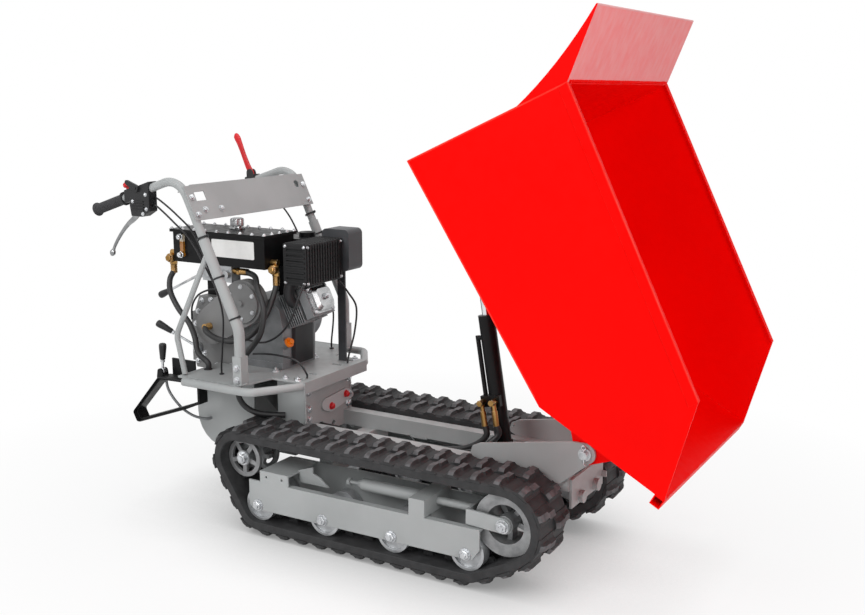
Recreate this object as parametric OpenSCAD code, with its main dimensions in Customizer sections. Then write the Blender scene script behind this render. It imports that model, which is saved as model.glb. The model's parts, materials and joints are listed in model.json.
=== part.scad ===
// Walk-behind tracked carrier with a skip that a hydraulic ram tips forward.
// X points forward to the tipping end, Y to the operator's left, Z up from the ground.
// The skip is drawn tipped, as it stands while it empties.

/* [Skip] */
// Outside width of the skip
skip_w = 744; // [690:2:800]
// Sheet thickness of the skip and its guard
skip_wall = 4; // [3:0.5:6]
// Flat floor from the rear wall to the ramp bend
floor_len = 728; // [690:1:760]
// Height of the rear wall above the floor
rear_h = 487; // [430:1:520]
// How far forward the top of the rear wall lies
rear_lean = 74; // [20:1:100]
// Front end of the rim, along the floor
rim_end = 889; // [840:1:920]
// Front end of the rim, above the floor
rim_end_h = 384; // [340:1:420]
// Tip of the pouring lip, along the floor
lip_end = 1069; // [1030:1:1100]
// Tip of the pouring lip, above the floor
lip_h = 183; // [150:1:215]
// Width of the folded flange along the rim
rim_flange = 15; // [8:1:25]
// Size of the hollow channel under the lip
lip_channel = 28; // [20:1:36]
// Rise of the spill guard above the rear wall
guard_rise = 157; // [110:1:190]
// How far back the spill guard leans
guard_back = 111; // [70:1:130]
// Length of the guard's gussets down the rear wall
gusset_len = 150; // [100:1:200]
// Tilt of the floor in the drawn pose
tip_angle = 57.3; // [45:0.1:62]

/* [Tipping hinge] */
// Hinge axis forward of the origin
hinge_x = 654; // [630:1:680]
// Hinge axis above the ground
hinge_z = 384; // [370:1:400]
// Hinge axis from the rear wall, along the floor
hinge_along = 907; // [880:1:930]
// Hinge axis below the floor
hinge_drop = 75; // [65:1:85]
// Diameter of the hinge pins
hinge_pin_d = 24; // [18:1:28]
// Thickness of the hinge cheeks on the chassis
cheek_t = 8; // [6:1:10]
// Thickness of the skip's own hinge plates
hinge_plate_t = 8; // [6:1:10]
// Radial running clearance of pins and shafts
run_gap = 0.05; // [0.02:0.01:0.1]
// Side gap between parts that turn past each other
side_gap = 1.5; // [0.5:0.5:3]

/* [Ram] */
// Foot pivot of the ram, forward of the origin
ram_x = 342; // [330:1:352]
// Foot pivot of the ram, above the ground
ram_z = 300; // [294:1:306]
// Head pivot of the ram along the skip floor
ram_head_along = 121; // [112:1:130]
// Head pivot of the ram below the skip floor
ram_head_drop = 85; // [78:1:92]
// Outside diameter of the barrel
barrel_d = 50; // [46:1:56]
// Bore of the barrel
barrel_bore = 40; // [36:1:42]
// Length of the barrel from its foot pivot
barrel_len = 420; // [405:1:430]
// Diameter of the piston rod
rod_d = 25; // [20:1:28]
// Diameter of the ram's pins
ram_pin_d = 20; // [16:1:22]
// Width of the ram's eyes
ram_eye_w = 40; // [34:1:44]

/* [Running gear] */
// Width of each rubber track
track_w = 180; // [160:2:200]
// Distance between the track centre lines
gauge = 480; // [470:2:500]
// Thickness of the track's carcass
belt_t = 18; // [15:1:22]
// Height of the ground lugs
lug_h = 27; // [20:1:30]
// Ground lugs in each row
lug_count = 36; // [32:1:40]
// Height of the guide nubs inside the track
nub_h = 16; // [10:1:18]
// Radius of the road rollers
roller_r = 54; // [48:1:58]
// Spacing of the road rollers
roller_pitch = 245; // [235:1:255]
// Middle of the four rollers, forward of the origin
rollers_mid_x = 12; // [5:1:25]
// Radius that the track takes round the sprocket
sprocket_r = 65; // [60:1:70]
// Sprocket axis behind the rear roller
sprocket_back = 74; // [60:1:90]
// Sprocket axis above the ground
sprocket_z = 233; // [225:1:245]
// Radius that the track takes round the idler
idler_r = 94; // [85:1:100]
// Idler axis ahead of the front roller
idler_ahead = 110; // [108:1:118]
// Idler axis above the ground
idler_z = 200; // [190:1:210]
// Diameter of the roller axles
axle_d = 16; // [14:1:20]
// Thickness of the track frame plates
frame_t = 6; // [5:1:8]
// Height of the outer frame plate
frame_h = 94; // [85:1:105]

/* [Chassis] */
// Height of the two long rails
rail_h = 50; // [40:1:60]
// Width of each rail
rail_w = 40; // [34:1:44]
// Outside width over both rails
rails_w = 252; // [246:2:260]
// Underside of the rails above the ground
rail_z = 262; // [256:1:270]
// Rear end of the rails
rail_rear = -420; // [-440:1:-400]
// Front end of the rails
rail_front = 604; // [590:1:612]
// Front edge of the deck
deck_front = -272; // [-300:1:-266]
// Rear edge of the deck
deck_rear = -680; // [-690:1:-660]
// Top of the deck above the ground
deck_z = 470; // [462:1:478]
// Thickness of the deck sheet
deck_t = 6; // [4:1:8]
// Width of the deck at its front
deck_w = 350; // [330:2:370]
// Width of the deck at the operator's end
deck_rear_w = 612; // [590:2:630]
// Diameter of the bumper tubes along the deck
bumper_d = 26; // [20:1:32]

/* [Handles] */
// Distance between the handle tubes
handle_gap = 570; // [540:2:600]
// Diameter of the lower tubes
post_d = 34; // [30:1:38]
// Diameter of the handlebar tubes
bar_d = 27; // [24:1:28]
// Diameter of the grips
grip_d = 35; // [32:1:40]
// Length of the grips
grip_len = 140; // [120:1:180]
// Rear end of the handlebars
bar_end_x = -1018; // [-1040:1:-1000]
// Height of the handlebars' rear ends
bar_end_z = 986; // [960:1:1010]
// Thickness of the console sheet
console_t = 3; // [2:0.5:4]

/* [Power unit] */
// Crankshaft axis, forward of the origin
crank_x = -520; // [-530:1:-515]
// Crankshaft axis above the ground
crank_z = 619; // [614:1:626]
// Length of the oil tank
tank_l = 388; // [360:2:400]
// Width of the oil tank
tank_w = 154; // [140:2:170]
// Height of the oil tank
tank_h = 100; // [90:1:108]
// Underside of the oil tank above the ground
tank_z = 805; // [800:1:812]
// Wall of the oil tank
tank_wall = 4; // [3:0.5:6]
// Diameter of the hydraulic hoses
hose_d = 19; // [16:1:22]
// Diameter of the control cables
cable_d = 6; // [5:1:7]

/* [Hidden] */
$fn = 48;
right = -1;
left = 1;

paint_grey = "#b4b6b8";
paint_red = "#f01008";
paint_black = "#1c1c1e";
rubber_black = "#2a2a2b";
bright_steel = "#d4d6d8";
cast_metal = "#a8aaab";
brass = "#b58a45";

// Skip outline in its own frame: X along the floor, Z square to it
skip_rear_foot = [0, 0];
skip_bend = [floor_len, 0];
skip_lip = [lip_end, lip_h];
skip_rim_front = [rim_end, rim_end_h];
skip_rim_rear = [rear_lean, rear_h];
guard_tip = [rear_lean - guard_back, rear_h + guard_rise];
ramp_angle = atan2(lip_h, lip_end - floor_len);
rear_dir = unit(skip_rim_rear);
hinge_uv = [hinge_along, -hinge_drop];
head_uv = [ram_head_along, -ram_head_drop];

// Ram in the drawn pose
head_off = head_uv - hinge_uv;
head_x = hinge_x + head_off[0] * cos(tip_angle) + head_off[1] * sin(tip_angle);
head_z = hinge_z - head_off[0] * sin(tip_angle) + head_off[1] * cos(tip_angle);
ram_len = norm([head_x - ram_x, head_z - ram_z]);
ram_tilt = atan2(head_x - ram_x, head_z - ram_z);

// Track path
track_y = gauge / 2;
roller_z = lug_h + belt_t + roller_r;
roller_x = [for (i = [-1.5 : 1 : 1.5]) rollers_mid_x + i * roller_pitch];
sprocket_x = roller_x[0] - sprocket_back;
idler_x = roller_x[3] + idler_ahead;
wheel_c = [[sprocket_x, sprocket_z], [idler_x, idler_z], [roller_x[3], roller_z], [roller_x[0], roller_z]];
wheel_r = [sprocket_r, idler_r, roller_r, roller_r];

// Normal of the straight run from wheel i to the next, and each run's length
function next(i) = (i + 1) % 4;
function span(i) = wheel_c[next(i)] - wheel_c[i];
function drop(i) = wheel_r[i] - wheel_r[next(i)];
run_normal = [for (i = [0:3]) atan2(span(i)[1], span(i)[0]) + acos(drop(i) / norm(span(i)))];
run_len = [for (i = [0:3]) sqrt(pow(norm(span(i)), 2) - pow(drop(i), 2))];
wrap = [for (i = [0:3]) (run_normal[i] - run_normal[next(i)] + 720) % 360];
wrap_len = [for (i = [0:3]) wrap[i] * PI / 180 * (wheel_r[next(i)] + belt_t / 2)];
piece_len = [for (i = [0:3]) each [run_len[i], wrap_len[i]]];
piece_start = [for (k = [0:8]) sum_to(piece_len, k)];
loop_len = piece_start[8];
lug_pitch = loop_len / lug_count;

function sum_to(list, k) = k == 0 ? 0 : list[k - 1] + sum_to(list, k - 1);
function unit(v) = v / norm(v);
function turn(a) = [cos(a), sin(a)];

// Point on the track loop: s along its middle, h outward from its inner face
function track_point(s, h) =
  let (u = (s + 2 * loop_len) % loop_len)
  let (k = max([for (j = [0:7]) piece_start[j] <= u ? j : 0]))
  let (w = u - piece_start[k], i = floor(k / 2), j = next(i))
  k % 2 == 0
    ? wheel_c[i] + (wheel_r[i] + h) * turn(run_normal[i]) + w * turn(run_normal[i] - 90)
    : wheel_c[j] + (wheel_r[j] + h) * turn(run_normal[i] - w / (wheel_r[j] + belt_t / 2) * 180 / PI);

// Handle tube line in the XZ plane
foot_x = -437;
knee = [-437, 643];
bar_slope = unit([-194, 409]);
bar_end = [bar_end_x, bar_end_z];
bar_top = knee + bar_slope * 512;
post_top = knee + bar_slope * 302;
post_foot_z = deck_z + 90;
handle_y = handle_gap / 2;
bar_back = unit(bar_end - bar_top);

// Power unit
engine_y = 5;
cyl_rise = 25;
case_half = 88;
tank_front = -462;
tank_right = -120;
lid_t = 10;
lid_over = 8;
gasket = 0.3;
box_half = 95;
cover_out = 38;
cover_near = -box_half - cover_out;

// Right-hand prism of a shape in the XZ plane, from y0 to y1
module prism_y(y0, y1) {
  translate([0, y1, 0]) rotate([90, 0, 0]) linear_extrude(y1 - y0) children();
}

// Prism of a shape in the YZ plane, from x0 to x1
module prism_x(x0, x1) {
  translate([x0, 0, 0]) rotate([90, 0, 90]) linear_extrude(x1 - x0) children();
}

// Straight round bar between two points
module bar(p, q, r) {
  d = q - p;
  translate(p) rotate([0, acos(d[2] / norm(d)), atan2(d[1], d[0])]) cylinder(r = r, h = norm(d));
}

// Turned piece along a direction: its profile gives radius and distance from the start
module turned(start, way, profile) {
  d = unit(way);
  translate(start) rotate([0, acos(d[2]), atan2(d[1], d[0])]) rotate_extrude() polygon(profile);
}

// Cross bar along Y
module pin_y(x, z, y0, y1, r) {
  translate([x, y1, z]) rotate([90, 0, 0]) cylinder(r = r, h = y1 - y0);
}

// Plain block between two corners
module block(p, q) {
  translate(p) cube(q - p);
}

// Hexagon bolt head that faces along Y, outward from y
module hex_y(x, z, y, d, t, side) {
  translate([x, y, z]) rotate([side < 0 ? 90 : -90, 0, 0]) cylinder(d = d / cos(30), h = t, $fn = 6);
}

// A bent stretch is a little fuller than the straight ones, which run a short way into it
bend_swell = 0.25;
bend_lap = 3;

// Tube with round bends through points of the XY plane
module bent_run(pts, r, bend_r) {
  n = len(pts);
  legs = [for (i = [0 : n - 2]) unit(pts[i + 1] - pts[i])];
  turns = [for (i = [1 : n - 2]) atan2(cross(legs[i - 1], legs[i]), legs[i - 1] * legs[i])];
  cut = [0, each [for (a = turns) bend_r * tan(abs(a) / 2)], 0];
  for (i = [0 : n - 2]) {
    a = pts[i] + legs[i] * (i == 0 ? 0 : cut[i] - bend_lap);
    b = pts[i + 1] - legs[i] * (i == n - 2 ? 0 : cut[i + 1] - bend_lap);
    translate(a) rotate([0, 0, atan2(legs[i][1], legs[i][0])]) rotate([0, 90, 0])
      cylinder(r = r, h = norm(b - a));
  }
  for (i = [1 : n - 2]) {
    a = turns[i - 1];
    s = sign(a);
    start = pts[i] - legs[i - 1] * cut[i];
    side = [-legs[i - 1][1], legs[i - 1][0]] * s;
    head = atan2(legs[i - 1][1], legs[i - 1][0]);
    translate(start + side * bend_r) rotate([0, 0, s > 0 ? head - 90 : head + 90 + a])
      rotate_extrude(angle = abs(a)) translate([bend_r, 0]) circle(r = r + bend_swell);
  }
}

// The same tube in the XZ plane at one y
module bent_tube(pts, r, bend_r, y) {
  translate([0, y, 0]) rotate([90, 0, 0]) bent_run(pts, r, bend_r);
}

// Smooth curve through hand-chosen points, with n steps between each two
function knot(p, i) = p[min(max(i, 0), len(p) - 1)];
function ease(a, b, c, d, t) =
  0.5 * (2 * b + (c - a) * t + (2 * a - 5 * b + 4 * c - d) * t * t + (3 * b - a - 3 * c + d) * t * t * t);
function smooth_run(p, n) = [
  for (i = [0 : len(p) - 2], j = [0 : n - 1]) ease(knot(p, i - 1), p[i], p[i + 1], knot(p, i + 2), j / n),
  p[len(p) - 1]];
function heading(p, i) = unit(knot(p, i + 1) - knot(p, i - 1));
function side_of(t) = unit(abs(t[2]) < 0.9 ? cross(t, [0, 0, 1]) : cross(t, [1, 0, 0]));
function carry(p, i) = i == 0 ? side_of(heading(p, 0))
  : let (t = heading(p, i), b = carry(p, i - 1)) unit(b - t * (t * b));

// Hose or cable of eight sides along a route
module hose(route, d, n = 4) {
  path = smooth_run(route, n);
  sides = 8;
  last = len(path) - 1;
  ends = [unit(route[1] - route[0]), unit(route[len(route) - 1] - route[len(route) - 2])];
  way = [for (i = [0 : last]) i == 0 ? ends[0] : i == last ? ends[1] : heading(path, i)];
  rings = [for (i = [0 : last])
    let (t = way[i], c = carry(path, i), a = unit(c - t * (t * c)), b = cross(t, a))
    each [for (k = [0 : sides - 1]) path[i] + d / 2 * (a * cos(360 * k / sides)
      + b * sin(360 * k / sides))]];
  walls = [for (i = [0 : last - 1], k = [0 : sides - 1])
    let (a = i * sides + k, b = i * sides + (k + 1) % sides)
    each [[a, a + sides, b], [b, a + sides, b + sides]]];
  first_cap = [for (k = [1 : sides - 2]) [0, k, k + 1]];
  last_cap = [for (k = [1 : sides - 2]) [last * sides, last * sides + k + 1, last * sides + k]];
  polyhedron(points = rings, faces = concat(walls, first_cap, last_cap));
}

// The skip's own frame: X along the floor, Z square to it
module in_skip() {
  translate([hinge_x, 0, hinge_z]) rotate([0, tip_angle, 0])
    translate([-hinge_along, 0, hinge_drop]) children();
}

// The ram's own frame: Z from the foot pivot to the head pivot
module in_ram() {
  translate([ram_x, 0, ram_z]) rotate([0, ram_tilt, 0]) children();
}

// Skip

module skip_outline() {
  polygon([skip_rear_foot, skip_bend, skip_lip, skip_rim_front, skip_rim_rear]);
}

module skip_room() {
  rear_up = skip_rim_rear + rear_dir * floor_len;
  lip_out = skip_lip + turn(ramp_angle) * floor_len;
  offset(delta = -skip_wall)
    polygon([skip_rear_foot, skip_bend, lip_out, [lip_out[0], rear_up[1]], rear_up]);
}

module skip_shell() {
  half = skip_w / 2;
  rim_dir = unit(skip_rim_front - skip_rim_rear);
  rim_down = [rim_dir[1], -rim_dir[0]];
  channel_t = skip_wall - 1;
  color(paint_red) in_skip() {
    difference() {
      prism_y(-half, half) skip_outline();
      prism_y(-half + skip_wall, half - skip_wall) skip_room();
    }
    for (y = [-half, half - rim_flange])
      prism_y(y, y + rim_flange) intersection() {
        skip_outline();
        polygon([skip_rim_rear, skip_rim_front, skip_rim_front + rim_down * skip_wall,
          skip_rim_rear + rim_down * skip_wall]);
      }
    prism_y(-half, half) translate(skip_lip) rotate(ramp_angle) difference() {
      translate([-lip_channel, -lip_channel]) square([lip_channel, lip_channel + skip_wall / 2]);
      translate([channel_t - lip_channel, channel_t - lip_channel]) square(lip_channel - 2 * channel_t);
    }
  }
}

module spill_guard() {
  half = skip_w / 2;
  lean = unit(guard_tip - skip_rim_rear);
  back = [-lean[1], lean[0]];
  low = skip_rim_rear - rear_dir * gusset_len;
  tip = guard_tip + back * skip_wall;
  hollow = skip_rim_rear * 0.35 + (low + tip) / 2 * 0.65;
  curve = [for (t = [0 : 0.125 : 1]) (1 - t) * (1 - t) * tip + 2 * t * (1 - t) * hollow + t * t * low];
  color(paint_red) in_skip() {
    prism_y(-half, half)
      polygon([skip_rim_rear, guard_tip, tip, skip_rim_rear + back * skip_wall]);
    for (y = [-half, half - skip_wall])
      prism_y(y, y + skip_wall) polygon(concat([skip_rim_rear, guard_tip], curve));
  }
}

module skip_hinge_brackets() {
  inner = rails_w / 2 - side_gap - hinge_plate_t;
  ear_r = hinge_pin_d / 2 + 22;
  ramp_top = skip_bend + turn(ramp_angle) * 300;
  color(paint_red) in_skip() for (side = [right, left]) {
    y = side < 0 ? -inner - hinge_plate_t : inner;
    difference() {
      prism_y(y, y + hinge_plate_t) difference() {
        hull() {
          translate(hinge_uv) circle(r = ear_r);
          polygon([skip_bend - [130, 0], skip_bend, ramp_top]);
        }
        skip_outline();
      }
      pin_y(hinge_along, -hinge_drop, y - 1, y + hinge_plate_t + 1, hinge_pin_d / 2 + run_gap);
    }
  }
}

// Ears whose slots leave room for the ram's head pin, which leaves its seat in mid travel
slot_reach = [-42, -46];
slot_room = 4.5;

module lift_bracket() {
  ear_t = 8;
  inner = ram_eye_w / 2 + side_gap;
  slot_r = ram_pin_d / 2 + slot_room;
  rim = 16;
  end_uv = head_uv + slot_reach;
  color(paint_red) in_skip() for (side = [right, left]) {
    y = side < 0 ? -inner - ear_t : inner;
    difference() {
      prism_y(y, y + ear_t) hull() {
        translate(head_uv) circle(r = slot_r + rim);
        translate(end_uv) circle(r = slot_r + rim);
        translate([ram_head_along - 90, -1]) square([220, 1]);
      }
      for (p = [head_uv, end_uv])
        pin_y(p[0], p[1], y - 1, y + ear_t + 1, slot_r);
      prism_y(y - 1, y + ear_t + 1) translate(head_uv)
        rotate(atan2(slot_reach[1], slot_reach[0]))
          translate([0, -slot_r]) square([norm(slot_reach), 2 * slot_r]);
    }
  }
}

// Ram

port_z = 145;
port_block = 34;
barrel_cap = 26;

module cylinder_barrel() {
  foot_r = ram_pin_d / 2 + 12;
  pipe_x = -barrel_d / 2 - 9;
  pipe_top = barrel_len - 60;
  color(paint_black) in_ram() {
    difference() {
      union() {
        translate([0, 0, barrel_cap]) cylinder(d = barrel_d, h = barrel_len - barrel_cap);
        intersection() {
          union() {
            pin_y(0, 0, -ram_eye_w / 2, ram_eye_w / 2, foot_r);
            block([-foot_r, -ram_eye_w / 2, 0], [foot_r, ram_eye_w / 2, barrel_cap + 8]);
          }
          block([-foot_r, -ram_eye_w / 2, -foot_r], [foot_r, ram_eye_w / 2, barrel_cap + 8]);
        }
        block([pipe_x - 8, -barrel_d / 2 - 4, port_z], [barrel_d / 2 - 4, 0, port_z + port_block]);
        bar([pipe_x, -8, port_z + 5], [pipe_x, -8, pipe_top], 7);
        bar([pipe_x, -8, pipe_top - 7], [0, -8, pipe_top - 7], 7);
      }
      translate([0, 0, barrel_cap + 18]) cylinder(d = barrel_bore, h = barrel_len - barrel_cap - 18 - 24);
      translate([0, 0, barrel_len - 30]) cylinder(r = rod_d / 2 + run_gap, h = 40);
      pin_y(0, 0, -barrel_d, barrel_d, ram_pin_d / 2 + run_gap);
    }
  }
}

// Two banjo unions on the side of the port block, and the hoses' crimped ends
fitting_x = [-barrel_d / 2 - 8, 6];
fitting_y = -barrel_d / 2 - 4;
crimp_len = 46;

module cylinder_fittings() {
  z = port_z + port_block / 2;
  color(brass) in_ram() for (x = fitting_x) {
    pin_y(x, z, fitting_y - 22, fitting_y, 9);
    hex_y(x, z, fitting_y - 22, 17, 7, right);
    bar([x, fitting_y - 12, z], [x, fitting_y - 12, z - 26], 7);
    bar([x, fitting_y - 12, z - 26], [x, fitting_y - 12, z - 26 - crimp_len], 9);
  }
}

// Places of the ram's own frame, in the part's frame
function from_ram(p) = [ram_x + p[0] * cos(ram_tilt) + p[2] * sin(ram_tilt), p[1],
  ram_z - p[0] * sin(ram_tilt) + p[2] * cos(ram_tilt)];

hose_tail = port_z + port_block / 2 - 26 - crimp_len;

module cylinder_hoses() {
  color(rubber_black) for (i = [0, 1]) {
    start = from_ram([fitting_x[i], fitting_y - 12, hose_tail - gasket]);
    below = from_ram([fitting_x[i], fitting_y - 12, hose_tail - 30]);
    y = fitting_y - 12 - i * 22;
    hose([start, below, [260 + 30 * i, y, 318], [190 + 30 * i, y, 292], [90, y, 284],
      [-60, y, 284], [-180, y, 284], [-250, y, 290], [ped_front - 14, y, 290]], hose_d);
  }
}

module cylinder_rod() {
  eye_r = ram_pin_d / 2 + 12;
  piston_top = barrel_len - 40;
  piston_t = 30;
  color(bright_steel) in_ram() {
    translate([0, 0, piston_top - piston_t]) cylinder(d = barrel_bore - 2 * run_gap, h = piston_t);
    translate([0, 0, piston_top]) cylinder(d = rod_d, h = ram_len - eye_r + 4 - piston_top);
    translate([0, 0, ram_len]) {
      pin_y(0, 0, -ram_eye_w / 2, ram_eye_w / 2, eye_r);
      pin_y(0, 0, -ram_eye_w / 2 - 14, ram_eye_w / 2 + 14, ram_pin_d / 2);
    }
  }
}

// Running gear

lug_foot = 46;
lug_top = 17;
nub_foot = 34;
nub_top = 24;
nub_in = 11;
nub_out = 28;

// Outline of the loop's outer face with one row of lugs
function lug_ring(phase) = [for (i = [0 : lug_count - 1]) let (s = (i + phase) * lug_pitch)
  each [track_point(s - lug_foot / 2, belt_t), track_point(s - lug_top / 2, belt_t + lug_h),
    track_point(s + lug_top / 2, belt_t + lug_h), track_point(s + lug_foot / 2, belt_t),
    track_point(s + lug_pitch / 2, belt_t)]];

// Outline of the loop's inner face, plain or with guide nubs
function plain_ring() = [for (i = [0 : 6 * lug_count - 1]) track_point(i * lug_pitch / 6, 0)];
function nub_ring() = [for (i = [0 : lug_count - 1]) let (s = i * lug_pitch)
  each [track_point(s - nub_foot / 2, 0), track_point(s - nub_top / 2, -nub_h),
    track_point(s + nub_top / 2, -nub_h), track_point(s + nub_foot / 2, 0),
    track_point(s + lug_pitch / 2, 0)]];

// One slice across the belt
module belt_slice(y0, y1, outer, inner) {
  prism_y(y0, y1) difference() {
    polygon(outer);
    polygon(inner);
  }
}

module track_belt(side) {
  half = track_w / 2;
  near_row = lug_ring(0);
  far_row = lug_ring(0.5);
  flat_in = plain_ring();
  nubs_in = nub_ring();
  color(rubber_black) translate([0, side * track_y, 0]) {
    belt_slice(-half, -nub_out, near_row, flat_in);
    belt_slice(-nub_out, -nub_in, near_row, nubs_in);
    belt_slice(-nub_in, 0, near_row, flat_in);
    belt_slice(0, nub_in, far_row, flat_in);
    belt_slice(nub_in, nub_out, far_row, nubs_in);
    belt_slice(nub_out, half, far_row, flat_in);
  }
}

// Frame plates stand either side of the rollers
plate_in = 72;
plate_out = plate_in + frame_t;
roller_half = plate_in - side_gap;
rim_in = nub_out + 4;
wheel_gap = 0.8;

module spun_y(x, y, z) {
  translate([x, y, z]) rotate([90, 0, 0]) rotate_extrude() children();
}

module roller(side, i) {
  rim = roller_r - wheel_gap;
  bore = axle_d / 2 + run_gap;
  hub = 22;
  core = roller_r - nub_h - 8;
  well = rim - 9;
  color(cast_metal) spun_y(roller_x[i], side * track_y, roller_z)
    polygon([[bore, -roller_half], [hub, -roller_half], [hub, 12 - roller_half], [well, 12 - roller_half],
      [well, 3 - roller_half], [rim, 3 - roller_half], [rim, -rim_in], [core, -rim_in],
      [core, rim_in], [rim, rim_in], [rim, roller_half - 3], [well, roller_half - 3],
      [well, roller_half - 12], [hub, roller_half - 12], [hub, roller_half], [bore, roller_half]]);
}

idler_pin_d = 20;
idler_half = 52;

module idler(side) {
  rim = idler_r - wheel_gap;
  bore = idler_pin_d / 2 + run_gap;
  spokes = 5;
  y = side * track_y;
  color(cast_metal) {
    spun_y(idler_x, y, idler_z) for (s = [right, left]) mirror([0, s < 0 ? 1 : 0])
      translate([rim - 36, rim_in]) square([36, idler_half - rim_in]);
    spun_y(idler_x, y, idler_z) translate([rim - 36, -rim_in - 6]) square([14, 2 * rim_in + 12]);
    difference() {
      union() {
        pin_y(idler_x, idler_z, y - idler_half - 6, y + idler_half + 6, 26);
        for (k = [0 : spokes - 1]) translate([idler_x, y, idler_z]) rotate([0, k * 360 / spokes + 20, 0])
          translate([0, -16, -7]) cube([rim - 28, 32, 14]);
      }
      pin_y(idler_x, idler_z, y - 100, y + 100, bore);
    }
  }
}

teeth = 9;
shaft_d = 30;
shaft_in = 60;

module sprocket(side) {
  rim = sprocket_r - 3;
  tooth = sprocket_r - 1;
  y = side * track_y;
  spokes = 5;
  color(cast_metal) {
    for (s = [right, left]) {
      ring_y = y + s * 44;
      spun_y(sprocket_x, ring_y, sprocket_z) translate([rim - 14, -6]) square([14, 12]);
      for (k = [0 : spokes - 1]) translate([sprocket_x, ring_y, sprocket_z])
        rotate([0, k * 360 / spokes + 18, 0]) translate([0, -5, -7]) cube([rim - 6, 10, 14]);
    }
    pin_y(sprocket_x, sprocket_z, y - 56, y + 56, 25);
    intersection() {
      pin_y(sprocket_x, sprocket_z, y - 8, y + 8, tooth);
      union() {
        pin_y(sprocket_x, sprocket_z, y - 8, y + 8, tooth - 18);
        for (k = [0 : teeth - 1]) translate([sprocket_x, y, sprocket_z]) rotate([0, k * 360 / teeth, 0])
          translate([0, -8, -7]) cube([tooth + 5, 16, 14]);
      }
    }
    hex_y(sprocket_x, sprocket_z, y + side * 56, 30, 12, side);
    pin_y(sprocket_x, sprocket_z, min(side * shaft_in, y), max(side * shaft_in, y), shaft_d / 2);
  }
}

inner_plate_h = 132;
frame_rear = roller_x[0] - 34;
frame_fore = roller_x[3] + 44;
bracket_rear = roller_x[0] + 10;
bracket_len = 108;
block_x = roller_x[2] + 60;
block_len = 52;
slide_z = idler_z + 6;

module track_frame(side) {
  y = side * track_y;
  low = roller_z - 15;
  top = low + frame_h;
  inner_top = low + inner_plate_h;
  out0 = side < 0 ? y - plate_out : y + plate_in;
  in0 = side < 0 ? y + plate_in : y - plate_out;
  fold = 16;
  fold0 = side < 0 ? y - plate_in : y + plate_in - fold;
  color(paint_grey) difference() {
    union() {
      prism_y(out0, out0 + frame_t)
        polygon([[frame_rear, low + 12], [frame_rear, top], [frame_fore, top], [frame_fore, low + 34],
          [frame_fore - 24, low], [frame_rear + 12, low]]);
      block([bracket_rear, fold0, top - frame_t], [frame_fore, fold0 + fold, top]);
      prism_y(in0, in0 + frame_t)
        polygon([[frame_rear, low], [frame_rear, top], [frame_rear + 60, inner_top],
          [frame_fore - 60, inner_top], [frame_fore, top], [frame_fore, low]]);
      block([bracket_rear, y - plate_out, top], [bracket_rear + bracket_len, y + plate_out, top + 36]);
      block([block_x, y - plate_out, top], [block_x + block_len, y + plate_out, inner_top + 14]);
      rib_y = side < 0 ? y - 20 : y + 20 - frame_t;
      prism_y(rib_y, rib_y + frame_t) translate([bracket_rear + bracket_len, top])
        polygon([[0, 0], [110, 0], [80, 26], [52, 36], [52, 56], [-8, 36], [-8, 30], [0, 30]]);
    }
    for (x = roller_x) pin_y(x, roller_z, y - 200, y + 200, axle_d / 2);
    pin_bore_z = slide_z;
    translate([block_x - 1, y, pin_bore_z]) rotate([0, 90, 0])
      cylinder(r = slide_d / 2 + run_gap, h = block_len + 2);
    for (dx = [24, 84]) pin_y(bracket_rear + dx, top + 18, out0 - 1, out0 + 20, 4);
    block([bracket_rear - 1, y - plate_in, top - 1],
      [bracket_rear + bracket_len + 1, y + plate_in, top + 30]);
  }
}

module roller_axles() {
  head_d = 26;
  head_t = 8;
  color(bright_steel) for (side = [right, left], x = roller_x) {
    y = side * track_y;
    pin_y(x, roller_z, y - plate_out - 12, y + plate_out + 12, axle_d / 2 - run_gap);
    for (s = [right, left]) {
      hex_y(x, roller_z, y + s * plate_out, head_d, head_t, s);
    }
  }
}

slide_d = 24;
fork_in = idler_half + 8;
fork_t = 7;

module track_tensioners() {
  rear_x = roller_x[1] + 40;
  strap_h = 44;
  back_x = idler_x - idler_r - 14;
  color(paint_grey) for (side = [right, left]) {
    y = side * track_y;
    translate([rear_x, y, slide_z]) rotate([0, 90, 0]) {
      cylinder(d = 12, h = 80);
      translate([0, 0, 4]) cylinder(d = 24, h = 10, $fn = 6);
      translate([0, 0, 44]) cylinder(d = 24, h = 10, $fn = 6);
      translate([0, 0, 58]) cylinder(d = 38, h = block_x - rear_x - 58);
      translate([0, 0, 60]) cylinder(d = slide_d, h = back_x - rear_x - 60);
    }
    block([back_x - fork_t, y - fork_in - fork_t, slide_z - strap_h / 2],
      [back_x, y + fork_in + fork_t, slide_z + strap_h / 2]);
    for (s = [right, left]) {
      y0 = s < 0 ? y - fork_in - fork_t : y + fork_in;
      prism_y(y0, y0 + fork_t) hull() {
        translate([back_x - fork_t, slide_z - strap_h / 2]) square([20, strap_h]);
        translate([idler_x, idler_z]) circle(r = strap_h / 2);
      }
      hex_y(idler_x, idler_z, s < 0 ? y0 : y0 + fork_t, 28, 10, s);
    }
    pin_y(idler_x, idler_z, y - fork_in - 1, y + fork_in + 1, idler_pin_d / 2);
  }
}

// Chassis

cross_w = 50;
cross_h = 80;
cross_x = [-205, ram_x];
frame_inner = track_y - plate_out;
rail_top = rail_z + rail_h;
mount_in = ram_eye_w / 2 + side_gap;
mount_t = 10;
nose_t = 8;

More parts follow.
